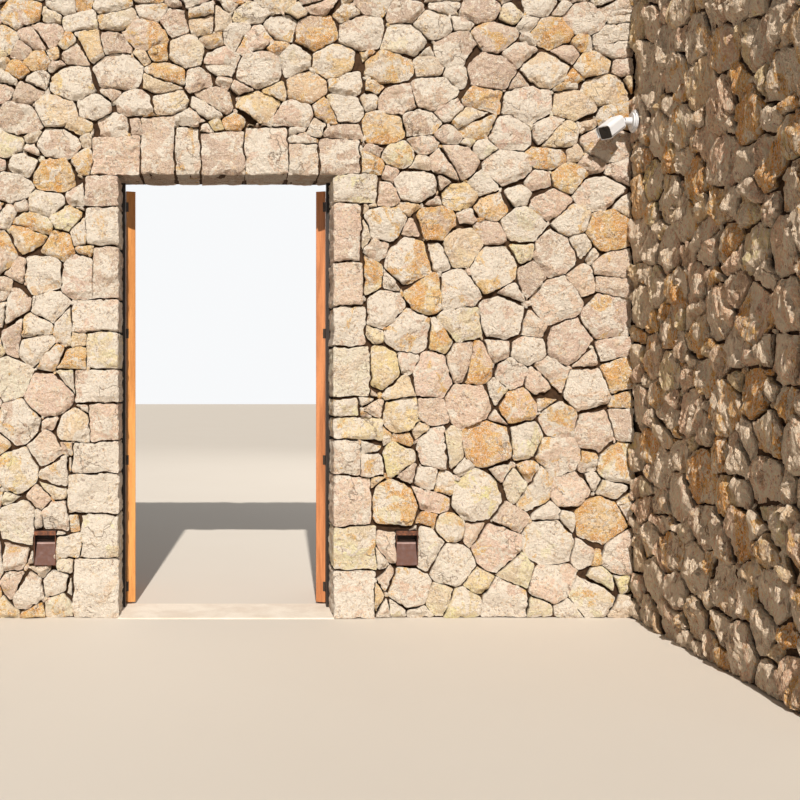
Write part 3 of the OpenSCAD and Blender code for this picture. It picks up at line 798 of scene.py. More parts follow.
def weathering_tree():
    """Roughens split stone along its normals: broad swells, fracture planes and small breaks."""
    sizes = ("Relief", "Fine relief", "Facets", "Swell size", "Upright")
    tree, sockets, given = new_tree("weathering", sizes)
    upright = given["Upright"]
    x, y, z = parts_of(tree, put(tree, "GeometryNodeInputPosition").outputs[0])
    shift = named(tree, "stone_shift")
    lean = times(tree, sine(tree, parts_of(tree, shift)[0]), less(tree, 1.0, upright))
    leaning = plus(tree, y, times(tree, z, times(tree, lean, STREAK_LEAN)))
    drawn = put(tree, "ShaderNodeCombineXYZ", inputs={0: x, 1: leaning, 2: times(tree, z, upright)})
    own = vector_node(tree, "ADD", drawn.outputs[0], shift)
    scale = divided(tree, 1.0, given["Swell size"])
    low = unevenness(tree, own, scale, 2.0, 0.5, given["Relief"])
    fine = unevenness(tree, own, times(tree, scale, BREAKS_PER_SWELL), 3.0, 0.65, given["Fine relief"])
    planes = put(tree, "ShaderNodeTexVoronoi", inputs={
        "Vector": own, "Scale": times(tree, scale, PLANES_PER_SWELL), "Randomness": 1.0})
    away = vector_node(tree, "SUBTRACT", own, planes.outputs["Position"])
    tilt = vector_node(tree, "SUBTRACT", planes.outputs["Color"], (0.5, 0.5, 0.5))
    slope = put(tree, "ShaderNodeVectorMath", {"operation": "DOT_PRODUCT"}, {0: away, 1: tilt}).outputs[1]
    earth_and_shade = parts_of(tree, named(tree, "stone_spots"))[2]
    shows = less(tree, 1.0, times(tree, earth_and_shade, 0.5))
    total = plus(tree, times(tree, slope, given["Facets"]), plus(tree, low, fine))
    finish_tree(tree, given["Geometry"], times(tree, total, shows), given["Material"])
    return tree, sockets


def pinning_tree():
    """Sets a small rough stone of chance size and turn on every point it is given."""
    tree, sockets, given = new_tree("pinning", ("Smallest", "Largest", "Roughness"), ("Seed",))

    def chance(kind, low, high):
        """A chance value between two others, in the first output, or the second for single values."""
        keys = (2, 3) if kind == "FLOAT" else (0, 1)
        inputs = {keys[0]: low, keys[1]: high, "Seed": given["Seed"]}
        return put(tree, "FunctionNodeRandomValue", {"data_type": kind}, inputs).outputs

    rock = put(tree, "GeometryNodeMeshIcoSphere", inputs={"Radius": 1.0, "Subdivisions": 1}).outputs[0]
    points = put(tree, "GeometryNodeMeshToPoints", inputs={"Mesh": given["Geometry"]}).outputs[0]
    size = chance("FLOAT", given["Smallest"], given["Largest"])[1]
    flat = chance("FLOAT_VECTOR", (0.8, 0.5, 0.4), (1.8, 1.0, 0.8))[0]
    turn = chance("FLOAT_VECTOR", (0.0, 0.0, 0.0), (6.28, 6.28, 6.28))[0]
    placed = put(tree, "GeometryNodeInstanceOnPoints", inputs={
        "Points": points, "Instance": rock, "Rotation": turn, "Scale": scaled(tree, flat, size)})
    real = put(tree, "GeometryNodeRealizeInstances", inputs={"Geometry": placed.outputs[0]})
    place = put(tree, "GeometryNodeInputPosition").outputs[0]
    bumps = unevenness(tree, place, 42.0, 2.0, 0.6, given["Roughness"])
    finish_tree(tree, real.outputs[0], bumps, given["Material"])
    return tree, sockets


def apply_tree(piece, made, values):
    """Runs a geometry tree on a piece and keeps its result as the piece's plain mesh."""
    tree, sockets = made
    modifier = piece.modifiers.new(tree.name, "NODES")
    modifier.node_group = tree
    for key, value in values.items():
        modifier[sockets[key]] = value
    view = bpy.context.evaluated_depsgraph_get()
    mesh = bpy.data.meshes.new_from_object(piece.evaluated_get(view), preserve_all_data_layers=True,
                                           depsgraph=view)
    piece.modifiers.remove(modifier)
    old, piece.data = piece.data, mesh
    bpy.data.meshes.remove(old)
    mesh.name = piece.name


# Finishes. The noises of split stone are given by scale, detail, roughness and distortion.
STONE_NOISES = {
    "cloud": (5.0, 3.0, 0.6, 0.4),
    "mottle": (24.0, 5.0, 0.72),
    "grain": (85.0, 4.0, 0.75),
    "dust": (210.0, 2.5, 0.7),
    "flake": (8.0, 5.0, 0.56, 0.6),
    "stain": (7.0, 5.0, 0.62, 0.8),
    "vein": (12.0, 5.0, 0.68, 1.4),
    "busy": (11.0, 2.0),
    "crazed": (5.0, 2.0),
}
STAIN_EDGE, STAIN_HEART = screen(242, 206, 130), screen(184, 116, 46)
# The mortar lumps are darkened too, as painted shade of the joints.
BROWN_SPECK, CRACK_EARTH, SHADED_MORTAR_LUMP = screen(160, 134, 120), screen(132, 104, 80), screen(80, 59, 42)
SLAB_SHADE, SLAB_LIGHT, SLAB_PORE = screen(214, 200, 184), screen(230, 220, 206), screen(176, 160, 142)
# The recess shade is painted shade inside the mouth of a step light's box.
DRY_RUST, RECESS_SHADE, PLATE_BLOOM = screen(186, 158, 150), screen(24, 16, 12), screen(104, 71, 59)


def mix(tree, factor, a, b, blend="MIX"):
    node = put(tree, "ShaderNodeMix", {"data_type": "RGBA", "blend_type": blend}, {0: factor})
    for index, value in ((6, a), (7, b)):
        if isinstance(value, bpy.types.NodeSocket):
            tree.links.new(value, node.inputs[index])
        else:
            node.inputs[index].default_value = (*value[:3], 1.0)
    return node.outputs[2]


def darkened(tree, factor, colour, shade):
    """A colour multiplied by a shade, as far as the factor says."""
    return mix(tree, factor, colour, mix(tree, 1.0, colour, shade, "MULTIPLY"))


def spread(tree, value, low, high, to_low=0.0, to_high=1.0):
    """A value moved smoothly from one range to another and held at its ends."""
    node = put(tree, "ShaderNodeMapRange", {"interpolation_type": "SMOOTHSTEP"},
               {0: value, 1: low, 2: high, 3: to_low, 4: to_high})
    return node.outputs[0]


def new_finish(name, roughness=0.5, metallic=0.0, specular=0.5):
    """A material with its tree and its object coordinates."""
    material = bpy.data.materials.new(name)
    material.use_nodes = True
    tree = material.node_tree
    for key, value in (("Roughness", roughness), ("Metallic", metallic), ("Specular IOR Level", specular)):
        tree.nodes["Principled BSDF"].inputs[key].default_value = value
    return material, tree, tree.nodes.new("ShaderNodeTexCoord").outputs["Object"]


def coated(material, colour, height=None, depth=0.0, strength=1.0, roughness=None):
    """Joins the colour of a finish, its small relief and its roughness to its shader."""
    tree = material.node_tree
    shader = tree.nodes["Principled BSDF"]
    tree.links.new(colour, shader.inputs["Base Color"])
    if roughness is not None:
        tree.links.new(roughness, shader.inputs["Roughness"])
    if height is not None:
        bump = put(tree, "ShaderNodeBump", inputs={"Height": height, "Distance": depth, "Strength": strength})
        tree.links.new(bump.outputs[0], shader.inputs["Normal"])
    return material


def stone_finish(name, settings, rough=0.034, tint_and_shade_cast=(1.03, 0.95, 0.875), upright=1.0):
    """Split limestone: each stone's tint, white breaks, orange stains, speckle, cracks, sides darkened in the
    joints as earth and painted shade, and a colour cast.
    """
    material, tree, place = new_finish(name, roughness=0.9, specular=0.2)
    tint, spots, shift = (
        put(tree, "ShaderNodeAttribute", {"attribute_name": key}).outputs[kind]
        for key, kind in (("stone_tint", "Color"), ("stone_spots", "Vector"), ("stone_shift", "Vector")))
    ochre, chips, earth_and_shade = parts_of(tree, spots)
    own = vector_node(tree, "ADD", vector_node(tree, "MULTIPLY", place, (1.0, 1.0, upright)), shift)
    layers = {key: noise_at(tree, own, *values) for key, values in STONE_NOISES.items()}
    mottle, grain, dust = layers["mottle"], layers["grain"], layers["dust"]

    colour = mix(tree, spread(tree, layers["cloud"], 0.38, 0.60, 0.55, 0.0), tint, settings.pink)
    colour = mix(tree, spread(tree, mottle, 0.50, 0.66, 0.0, 0.7), colour, settings.pale)
    colour = darkened(tree, spread(tree, mottle, 0.30, 0.46, 0.4, 0.0), colour, (0.70, 0.65, 0.61))

    limit = spread(tree, chips, 0.0, 1.0, 0.65, 0.43)
    amount = spread(tree, less(tree, layers["flake"], limit), 0.0, 0.014, 0.0, 0.95)
    colour = mix(tree, amount, colour, settings.white)

    over = less(tree, layers["stain"], spread(tree, ochre, 0.0, 1.2, 0.70, 0.40))
    amount = times(tree, spread(tree, over, 0.0, 0.012), spread(tree, grain, 0.36, 0.54, 0.35, 1.0))
    warm = mix(tree, spread(tree, over, 0.01, 0.12), STAIN_EDGE, settings.orange)
    warm = mix(tree, spread(tree, mottle, 0.30, 0.44, 0.7, 0.0), warm, STAIN_HEART)
    colour = mix(tree, amount, colour, warm)
    colour = mix(tree, spread(tree, layers["vein"], 0.566, 0.584, 0.0, 0.95), colour, settings.white)

    speckle = noise_at(tree, own, 62.0, 3.0, 0.65, coloured=True)
    hues = put(tree, "ShaderNodeSeparateColor", inputs={0: speckle}).outputs
    busy = spread(tree, layers["busy"], 0.40, 0.62, 0.25, 1.0)
    for hue, high, amount, other in zip(hues, (0.62, 0.62, 0.64), (0.6, 0.8, 0.75),
                                        (settings.ochre, settings.white, BROWN_SPECK)):
        colour = mix(tree, times(tree, spread(tree, hue, 0.53, high, 0.0, amount), busy), colour, other)

    bent = noise_at(tree, own, 14.0, 4.0, 0.5, coloured=True)
    bent = vector_node(tree, "ADD", own, vector_node(tree, "MULTIPLY", bent, (0.12, 0.12, 0.12)))
    crack = put(tree, "ShaderNodeTexVoronoi", {"feature": "DISTANCE_TO_EDGE"},
                {"Vector": bent, "Scale": 5.0, "Randomness": 1.0}).outputs[0]
    crazed = spread(tree, layers["crazed"], 0.57, 0.63)
    crack = times(tree, spread(tree, crack, 0.004, 0.020, 1.0, 0.0), crazed)
    colour = mix(tree, times(tree, crack, 0.7), colour, CRACK_EARTH)

    colour = darkened(tree, spread(tree, grain, 0.30, 0.42, 0.7, 0.0), colour, (0.55, 0.45, 0.37))
    colour = mix(tree, spread(tree, dust, 0.52, 0.60, 0.0, 0.75), colour, settings.white)
    colour = darkened(tree, spread(tree, dust, 0.34, 0.44, 0.5, 0.0), colour, (0.62, 0.54, 0.48))
    # Stone sides darken with depth toward the joint colour: earth, and painted shade for the shadow in the
    # joints.
    colour = mix(tree, spread(tree, earth_and_shade, 0.42, 1.0, 0.0, 0.92), colour, settings.joint_colour_and_shade)
    # A colour cast over all: a warm tint of the stone, and on the return wall painted light, the warm light
    # reflected into its shade.
    colour = mix(tree, 1.0, colour, tint_and_shade_cast, "MULTIPLY")

    height = plus(tree, times(tree, mottle, 1.1), times(tree, grain, 0.65))
    height = less(tree, height, times(tree, crack, 0.25))
    height = plus(tree, height, times(tree, dust, 0.34))
    return coated(material, colour, height, rough)


def mortar_finish(name, settings):
    """Earthy lime mortar, deep in the joints; its colours are darkened further as painted shade for the
    shadow there.
    """
    material, tree, place = new_finish(name, roughness=0.95, specular=0.15)
    lumps = spread(tree, noise_at(tree, place, 30.0, 6.0, 0.7), 0.3, 0.7)
    colour = mix(tree, lumps, settings.joint_colour_and_shade, SHADED_MORTAR_LUMP)
    return coated(material, colour, noise_at(tree, place, 120.0, 5.0, 0.7), 0.006)


def wood_finish(name, light, dark, turn, pitch, roughness=0.42):
    """Varnished hardwood with upright grain, each board of its own shade.

    turn is the angle of the boards' row about the upright axis, so that boards are told apart."""
    material, tree, place = new_finish(name, roughness=roughness, specular=0.45)
    flat = mapped(tree, place, Rotation=(0, 0, -turn))
    board = whole(tree, divided(tree, parts_of(tree, flat)[0], pitch))
    own = put(tree, "ShaderNodeTexWhiteNoise", {"noise_dimensions": "1D"}, {"W": board}).outputs[0]
    apart = put(tree, "ShaderNodeCombineXYZ", inputs={0: 0.0, 1: 0.0, 2: times(tree, own, 40.0)}).outputs[0]
    grain = vector_node(tree, "ADD", mapped(tree, flat, Scale=(1.0, 1.0, 0.07)), apart)
    bands = noise_at(tree, grain, 26.0, 4.0, 0.6, 0.35)
    fibres = noise_at(tree, grain, 190.0, 3.0, 0.7)
    pores = noise_at(tree, grain, 420.0, 2.0, 0.6)
    colour = mix(tree, spread(tree, bands, 0.34, 0.66), dark, light)
    colour = darkened(tree, spread(tree, fibres, 0.35, 0.7, 0.28, 0.0), colour, (0.55, 0.45, 0.38))
    colour = darkened(tree, spread(tree, own, 0.0, 1.0, 0.0, 0.30), colour, (0.66, 0.58, 0.52))
    colour = darkened(tree, spread(tree, pores, 0.30, 0.42, 0.5, 0.0), colour, (0.45, 0.36, 0.3))
    height = plus(tree, fibres, times(tree, bands, 0.6))
    gloss = spread(tree, fibres, 0.2, 0.8, roughness - 0.08, roughness + 0.12)
    return coated(material, colour, height, 0.0012, 0.6, gloss)


def worn_metal_finish(name, colour, worn, roughness=0.42, metallic=0.6):
    """Dark coated metal, paler in patches where hands and weather wear it."""
    material, tree, place = new_finish(name, roughness, metallic)
    patch = noise_at(tree, place, 60.0, 5.0, 0.65)
    colour = mix(tree, spread(tree, patch, 0.52, 0.78, 0.0, 0.7), colour, worn)
    gloss = spread(tree, patch, 0.3, 0.7, roughness - 0.08, roughness + 0.14)
    return coated(material, colour, noise_at(tree, place, 900.0, 2.0, 0.6), 0.0003, 0.5, gloss)


def rust_finish(name, dark, light, streaks, crest=None, mouth=None):
    """Rusted sheet steel with brighter blooms and faint runs down the face.

    It is paler above the height of its crest, and darkened behind the depth of its mouth as painted shade
    in the recess under the hood."""
    material, tree, place = new_finish(name, roughness=0.72, metallic=0.25)
    bloom = noise_at(tree, place, 42.0, 6.0, 0.7)
    runs = noise_at(tree, mapped(tree, place, Scale=(1.0, 1.0, 0.18)), 90.0, 4.0, 0.6)
    amount = plus(tree, spread(tree, bloom, 0.40, 0.68), times(tree, spread(tree, runs, 0.45, 0.75), streaks),
                  clamp=True)
    colour = mix(tree, amount, dark, light)
    if crest is not None:
        up = parts_of(tree, place)[2]
        colour = mix(tree, spread(tree, up, crest - 0.003, crest, 0.0, 0.55), colour, DRY_RUST)
    if mouth is not None:
        back = parts_of(tree, place)[1]
        # Painted shade behind the mouth.
        colour = mix(tree, spread(tree, back, mouth, mouth + 0.012, 0.0, 0.85), colour, RECESS_SHADE)
    speck = spread(tree, noise_at(tree, place, 400.0, 3.0, 0.7), 0.55, 0.75, 0.0, 0.5)
    colour = darkened(tree, speck, colour, (0.45, 0.4, 0.4))
    height = plus(tree, bloom, noise_at(tree, place, 300.0, 3.0, 0.7))
    return coated(material, colour, height, 0.0012, 0.6, spread(tree, bloom, 0.3, 0.7, 0.55, 0.85))


def shell_finish(name, colour, roughness, dirt=0.12):
    """Moulded plastic with a fine texture and a little dust."""
    material, tree, place = new_finish(name, roughness=roughness)
    dust = spread(tree, noise_at(tree, place, 22.0, 4.0, 0.6), 0.5, 0.8, 0.0, dirt)
    colour = darkened(tree, dust, colour, (0.72, 0.68, 0.62))
    return coated(material, colour, noise_at(tree, place, 1400.0, 2.0, 0.5), 0.0002, 0.4)


def slab_finish(name):
    """Honed pale limestone of the threshold."""
    material, tree, place = new_finish(name, roughness=0.7, specular=0.35)
    cloud = spread(tree, noise_at(tree, place, 5.0, 6.0, 0.6, 0.6), 0.3, 0.7)
    grain = noise_at(tree, place, 160.0, 4.0, 0.7)
    colour = mix(tree, cloud, SLAB_SHADE, SLAB_LIGHT)
    colour = mix(tree, spread(tree, grain, 0.3, 0.5, 0.3, 0.0), colour, SLAB_PORE)
    return coated(material, colour, grain, 0.001, 0.5)


def plain_finish(name, colour, roughness):
    """A plain floor coat, faintly clouded."""
    material, tree, place = new_finish(name, roughness=roughness, specular=0.2)
    cloud = spread(tree, noise_at(tree, place, 0.8, 3.0), 0.3, 0.7, 0.0, 0.25)
    return coated(material, darkened(tree, cloud, colour, (0.96, 0.95, 0.94)))


def shared_finish(name, make, *values):
    """A finish that several pieces share, made the first time it is asked for."""
    return bpy.data.materials.get(name) or make(name, *values)


def dress(node, material):
    """Gives a node of the frame its finish."""
    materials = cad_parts[node].data.materials
    materials.clear()
    materials.append(material)


# The masonry faces

def node_limits(node):
    """The low and high corner of a node."""
    low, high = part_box(node)
    return np.array(low), np.array(high)


def solid_boxes(node):
    """The low and high corner of each separate solid of a node, from the ground up, then left to right."""
    mesh = bmesh.new()
    mesh.from_mesh(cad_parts[node].data)
    bmesh.ops.remove_doubles(mesh, verts=mesh.verts, dist=SAME_POINT)
    waiting, boxes = set(mesh.verts), []
    while waiting:
        stack = [waiting.pop()]
        found = []
        while stack:
            vertex = stack.pop()
            found.append(tuple(vertex.co))
            joined = {edge.other_vert(vertex) for edge in vertex.link_edges} & waiting
            waiting -= joined
            stack.extend(joined)
        boxes.append((np.min(found, 0), np.max(found, 0)))
    mesh.free()
    return sorted(boxes, key=lambda b: (round(b[0][2], 3), b[0][0]))


LEFT_LOW, LEFT_HIGH = node_limits("left_wall")
RETURN_LOW, RETURN_HIGH = node_limits("return_wall")
WALL_TOP = LEFT_HIGH[2]
FRONT_Y, REAR_Y = LEFT_LOW[1], LEFT_HIGH[1]
JAMB_X = node_limits("wall_over_gate")[1][0]
GATE_TOP = node_limits("wall_over_gate")[0][2]
POST_X = -node_limits("left_post")[0][0]
POST_Y = node_limits("left_post")[0][1]
CORNER_X = node_limits("right_wall")[1][0]
LIGHT_BOXES = [node_limits("left_light_box"), node_limits("right_light_box")]

# Boxes beside which the joints run straight: the doorway, the posts and the step lights
FAR = 9.0
CALM_BOXES = [(np.array([-JAMB_X, -FAR, -FAR]), np.array([JAMB_X, FAR, GATE_TOP])),
              (np.array([-POST_X, 0.0, -FAR]), np.array([POST_X, FAR, GATE_TOP])), *LIGHT_BOXES]

# Stones at a free edge reach back this far. Faces run on past the inner corner by the tuck.
EDGE_DEPTH, TUCK = 0.095, 0.030

# The core between the edge stones of two faces, which the stones of the ends and the tops cover
CORE = REAR_Y - FRONT_Y - 2 * EDGE_DEPTH + 0.05
RETURN_MIDDLE = (RETURN_LOW[0] + RETURN_HIGH[0]) / 2
END_CUT = {"depth": 0.06, "lift": -0.006}
LEFTWARD, RIGHTWARD, INWARD, TOWARD, UPWARD = (-1, 0, 0), (1, 0, 0), (0, 1, 0), (0, -1, 0), (0, 0, 1)

STREET = Face((LEFT_LOW[0], FRONT_Y, 0), RIGHTWARD, UPWARD, CORNER_X + TUCK - LEFT_LOW[0], WALL_TOP)
COURT = Face((RETURN_HIGH[0], REAR_Y, 0), LEFTWARD, UPWARD, RETURN_HIGH[0] - LEFT_LOW[0], WALL_TOP)
WALL_END = Face((LEFT_LOW[0], CORE / 2, 0), TOWARD, UPWARD, CORE, WALL_TOP)
RIDGE = Face((LEFT_LOW[0] + EDGE_DEPTH, -CORE / 2, WALL_TOP), RIGHTWARD, INWARD,
             CORNER_X - LEFT_LOW[0] - EDGE_DEPTH, CORE)
RETURN_INNER = Face((RETURN_LOW[0], FRONT_Y + TUCK, 0), TOWARD, UPWARD, FRONT_Y + TUCK - RETURN_LOW[1],
                    WALL_TOP)
RETURN_OUTER = Face((RETURN_HIGH[0], RETURN_LOW[1], 0), INWARD, UPWARD,
                    REAR_Y - EDGE_DEPTH - RETURN_LOW[1], WALL_TOP)
RETURN_END = Face((RETURN_MIDDLE - CORE / 2, RETURN_LOW[1], 0), RIGHTWARD, UPWARD, CORE, WALL_TOP)
RETURN_RIDGE = Face((RETURN_MIDDLE + CORE / 2, RETURN_LOW[1] + EDGE_DEPTH - 0.02, WALL_TOP), INWARD, LEFTWARD,
                    RETURN_HIGH[1] - RETURN_LOW[1] - 2 * EDGE_DEPTH + 0.03, CORE)
WALL_NODES = {"left": "left_wall", "gate": "wall_over_gate", "right": "right_wall"}


def rects_on(face, boxes, gap):
    """Boxes of the frame as rectangles across and up on a face, grown by a gap."""
    rects = []
    for low, high in boxes:
        ends = [(np.array([x, y, 0]) - np.array(face.origin)) @ np.array(face.along)
                for x, y, _ in (low, high)]
        rects.append(((min(ends) - gap, low[2] - gap), (max(ends) + gap, high[2] + gap)))
    return rects


def gate_boxes():
    """What the rubble is laid around: the doorway, the jamb stones and the lintel stones."""
    doorway = (np.array([-JAMB_X, FRONT_Y, -1]), np.array([JAMB_X, REAR_Y, GATE_TOP]))
    stones = [solid_boxes(node) for node in ("left_jamb_stones", "right_jamb_stones", "lintel_stones")]
    return [doorway] + sum(stones, [])


def part_at(x):
    """The part of the gate wall that a stone belongs to."""
    return "left" if x < -JAMB_X else "right" if x > JAMB_X else "gate"


def near(value, goal):
    return abs(value - goal) < ON_BORDER


def free_edges(*ends):
    """What tells points at the wall's top, or at these ends of a face, where the wall stops."""
    def free(p):
        return near(p[1], WALL_TOP) or any(near(p[0], end) for end in ends)
    return free


def lay_face(rng, settings, face, outlines, heap_at, free=None, depth=None, joint=1.0, level=None, chips=0.0,
             marked=None, **cut):
    """Lays the stones of one face into the heap that heap_at picks for each centre.

    level shades all stones for one height. marked is the cut of stones with a tone of their own. The extra
    chips are added to every stone; on the shaded return wall they are painted glints of sunlit grains."""
    for poly, tone in outlines:
        centre = centre_of(poly)
        touches = free is not None and any(
            free((poly[i] + poly[(i + 1) % len(poly)]) / 2) for i in range(len(poly)))
        shape = tidy_outline(shrink(rng, poly, settings.joint * joint, free), SHORTEST_CUT)
        if len(shape) < 3 or area_of(shape) < SMALLEST_CUT:
            continue
        run = rng.uniform(0.85, 1.25) * EDGE_DEPTH if touches else settings.bed_depth + BED_LAP
        look = stone_look(rng, settings, tone, level or centre[1])
        look = look._replace(chips=min(1.0, look.chips + chips))
        own = {**cut, **marked} if marked and tone else cut
        lay_stone(heap_at(centre), rng, face, shape, look, depth=depth or run, bare=touches, **own)


def rides_wall(piece, slot, *nodes):
    """Hides the nodes that a piece of masonry stands for, and lets the piece ride on the wall."""
    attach(piece, "wall")
    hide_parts(*nodes)


def finish_masonry(piece, settings, node, slot, finish, boldness=1.0, upright=1.0, swell=0.085):
    """Weathers a piece of masonry that stands for a node."""
    apply_tree(piece, weathering_tree(), {
        "Relief": settings.relief * boldness, "Fine relief": settings.fine_relief * boldness,
        "Facets": settings.facet * boldness, "Swell size": swell, "Upright": upright, "Material": finish})
    rides_wall(piece, slot, node)


def pin_joints(rng, face, outlines, settings, node, finish, share=0.14):
    """Small pinning stones in the pockets where stones of a face meet, as one piece."""
    corners = np.unique(np.round(np.concatenate([poly for poly, _ in outlines]), 3), axis=0)
    spots = np.array([c for c in corners if rng.random() < share
                      and PIN_CLEAR < c[0] < face.width - PIN_CLEAR
                      and PIN_CLEAR < c[1] < face.height - PIN_CLEAR])
    depth = np.array([-rng.uniform(*PIN_DEPTH) for _ in spots])
    looks = [stone_look(rng, settings) for _ in spots]
    shifts = [[rng.uniform(0, FAR_APART) for _ in range(3)] for _ in looks]
    piece = look_piece(node + "_pinning_stones", wall_point(face, spots, depth).tolist(), [],
                       [[*look.tint, 1.0] for look in looks],
                       [[look.ochre, look.chips, PIN_EARTH_AND_SHADE] for look in looks], shifts)
    apply_tree(piece, pinning_tree(), {"Smallest": 0.010, "Largest": 0.026, "Roughness": 0.014,
                                       "Seed": settings.seed, "Material": finish})
    rides_wall(piece, "rubble_limestone", node)


def lay_bed(boxes, settings, node):
    """The mortar that the stones are bedded in, as rough blocks drawn back from every face."""
    often, *kind = BED_ROUGHNESS
    whole_bed = bmesh.new()
    for low, high in boxes:
        block = rough_block(low, high, 0.05)
        for vertex in block.verts:
            vertex.co += vertex.normal * (noise.fractal(vertex.co * often, *kind) * BED_HEIGHT)
        mesh = bpy.data.meshes.new("bed_block")
        block.to_mesh(mesh)
        whole_bed.from_mesh(mesh)
        bpy.data.meshes.remove(mesh)
        block.free()
    mesh = bpy.data.meshes.new(node + "_bed")
    whole_bed.to_mesh(mesh)
    whole_bed.free()
    mesh.materials.append(shared_finish("bedding_mortar", mortar_finish, settings))
    rides_wall(new_piece(mesh.name, mesh), "rubble_limestone", node)


# How far the bed stays behind the faces, clear of the posts and the lights, and laps into other parts
BED_BACK, BED_LAP = 0.050, 0.012
POST_GAP, LIGHT_GAP, LIGHT_LAP = 0.004, 0.002, 0.006
OVER_GATE, LINTEL_BED = GATE_TOP + 0.02, GATE_TOP + 0.05


def side_bed_boxes(sign, outer_x, light):
    """The bed of one side wall, as blocks that leave the rebate and the step light free."""
    front, top = FRONT_Y + BED_BACK, WALL_TOP - BED_BACK
    (light_x0, _, light_z0), (light_x1, light_rear, light_z1) = light
    recess = light_rear + 0.001
    x0, x1 = sorted((sign * outer_x, sign * (JAMB_X + 0.020)))
    rear_x0, rear_x1 = sorted((sign * outer_x, sign * (POST_X + 0.024)))
    return [((rear_x0, POST_Y - 0.01, 0.0), (rear_x1, REAR_Y - BED_BACK, top)),
            ((x0, recess, 0.0), (x1, POST_Y - POST_GAP, LINTEL_BED)),
            ((x0, front, light_z1 + LIGHT_GAP), (x1, recess + LIGHT_GAP, LINTEL_BED)),
            ((x0, front, 0.0), (x1, recess + LIGHT_GAP, light_z0 - LIGHT_GAP)),
            ((x0, front, light_z0 - LIGHT_LAP), (light_x0 - LIGHT_GAP, recess + LIGHT_GAP,
                                                 light_z1 + LIGHT_LAP)),
            ((light_x1 + LIGHT_GAP, front, light_z0 - LIGHT_LAP), (x1, recess + LIGHT_GAP,
                                                                   light_z1 + LIGHT_LAP)),
            ((x0, front, OVER_GATE), (x1, POST_Y, top))]


class GATEWAY_OT_rubble_walls(bpy.types.Operator):
    """Lays the rubble of the gate wall, street side and court side, with its ends and its top"""
    bl_idname = "gateway.rubble_walls"
    bl_label = "Rubble Walls"

    def execute(self, context):
        settings = context.scene.gateway_masonry
        rng = random.Random(settings.seed)
        noise.seed_set(settings.seed)
        heaps = {part + side: Heap() for side in ("_street", "_court") for part in WALL_NODES}
        grain = settings.court_grain

        def heaps_of(face, side):
            return lambda centre: heaps[part_at(face.origin[0] + face.along[0] * centre[0]) + side]

        holes = gate_boxes()
        taken = rects_on(STREET, holes, settings.joint / 2) + rects_on(STREET, LIGHT_BOXES, 0.0)
        marks = [(x - STREET.origin[0], z, r, tone) for x, z, r, tone in STREET_LANDMARKS]
        street = lay_courses(rng, STREET, taken, marks)
        lay_face(rng, settings, STREET, street, heaps_of(STREET, "_street"), free_edges(0),
                 spacing=settings.street_grain)
        court = lay_courses(rng, COURT, rects_on(COURT, holes, settings.joint / 2))
        lay_face(rng, settings, COURT, court, heaps_of(COURT, "_court"), free_edges(0, COURT.width),
                 spacing=grain)
        lay_face(rng, settings, WALL_END, lay_out(rng, WALL_END), lambda centre: heaps["left_court"],
                 spacing=grain, **END_CUT)
        lay_face(rng, settings, RIDGE, lay_out(rng, RIDGE), heaps_of(RIDGE, "_court"), spacing=grain,
                 **END_CUT)
        finish = shared_finish("split_limestone", stone_finish, settings)
        for key, heap in heaps.items():
            part, side = key.split("_")
            node = WALL_NODES[part]
            finish_masonry(heap.make(f"{node}_{side}_stones"), settings, node, "rubble_limestone", finish)
        for part, node in WALL_NODES.items():
            own = [o for o in street if part_at(STREET.origin[0] + centre_of(o[0])[0]) == part]
            pin_joints(rng, STREET, own, settings, node, finish)
        lay_bed(side_bed_boxes(-1, -LEFT_LOW[0] - 0.03, LIGHT_BOXES[0]), settings, "left_wall")
        lay_bed(side_bed_boxes(1, CORNER_X + 0.055, LIGHT_BOXES[1]), settings, "right_wall")
        lay_bed([((-JAMB_X - 0.03, FRONT_Y + BED_BACK, OVER_GATE),
                  (JAMB_X + 0.03, REAR_Y - BED_BACK, WALL_TOP - BED_BACK)),
                 ((-JAMB_X - 0.06, FRONT_Y + 0.045, GATE_TOP + 0.008),
                  (JAMB_X + 0.06, REAR_Y - 0.016, GATE_TOP + 0.14))], settings, "wall_over_gate")
        return {"FINISHED"}


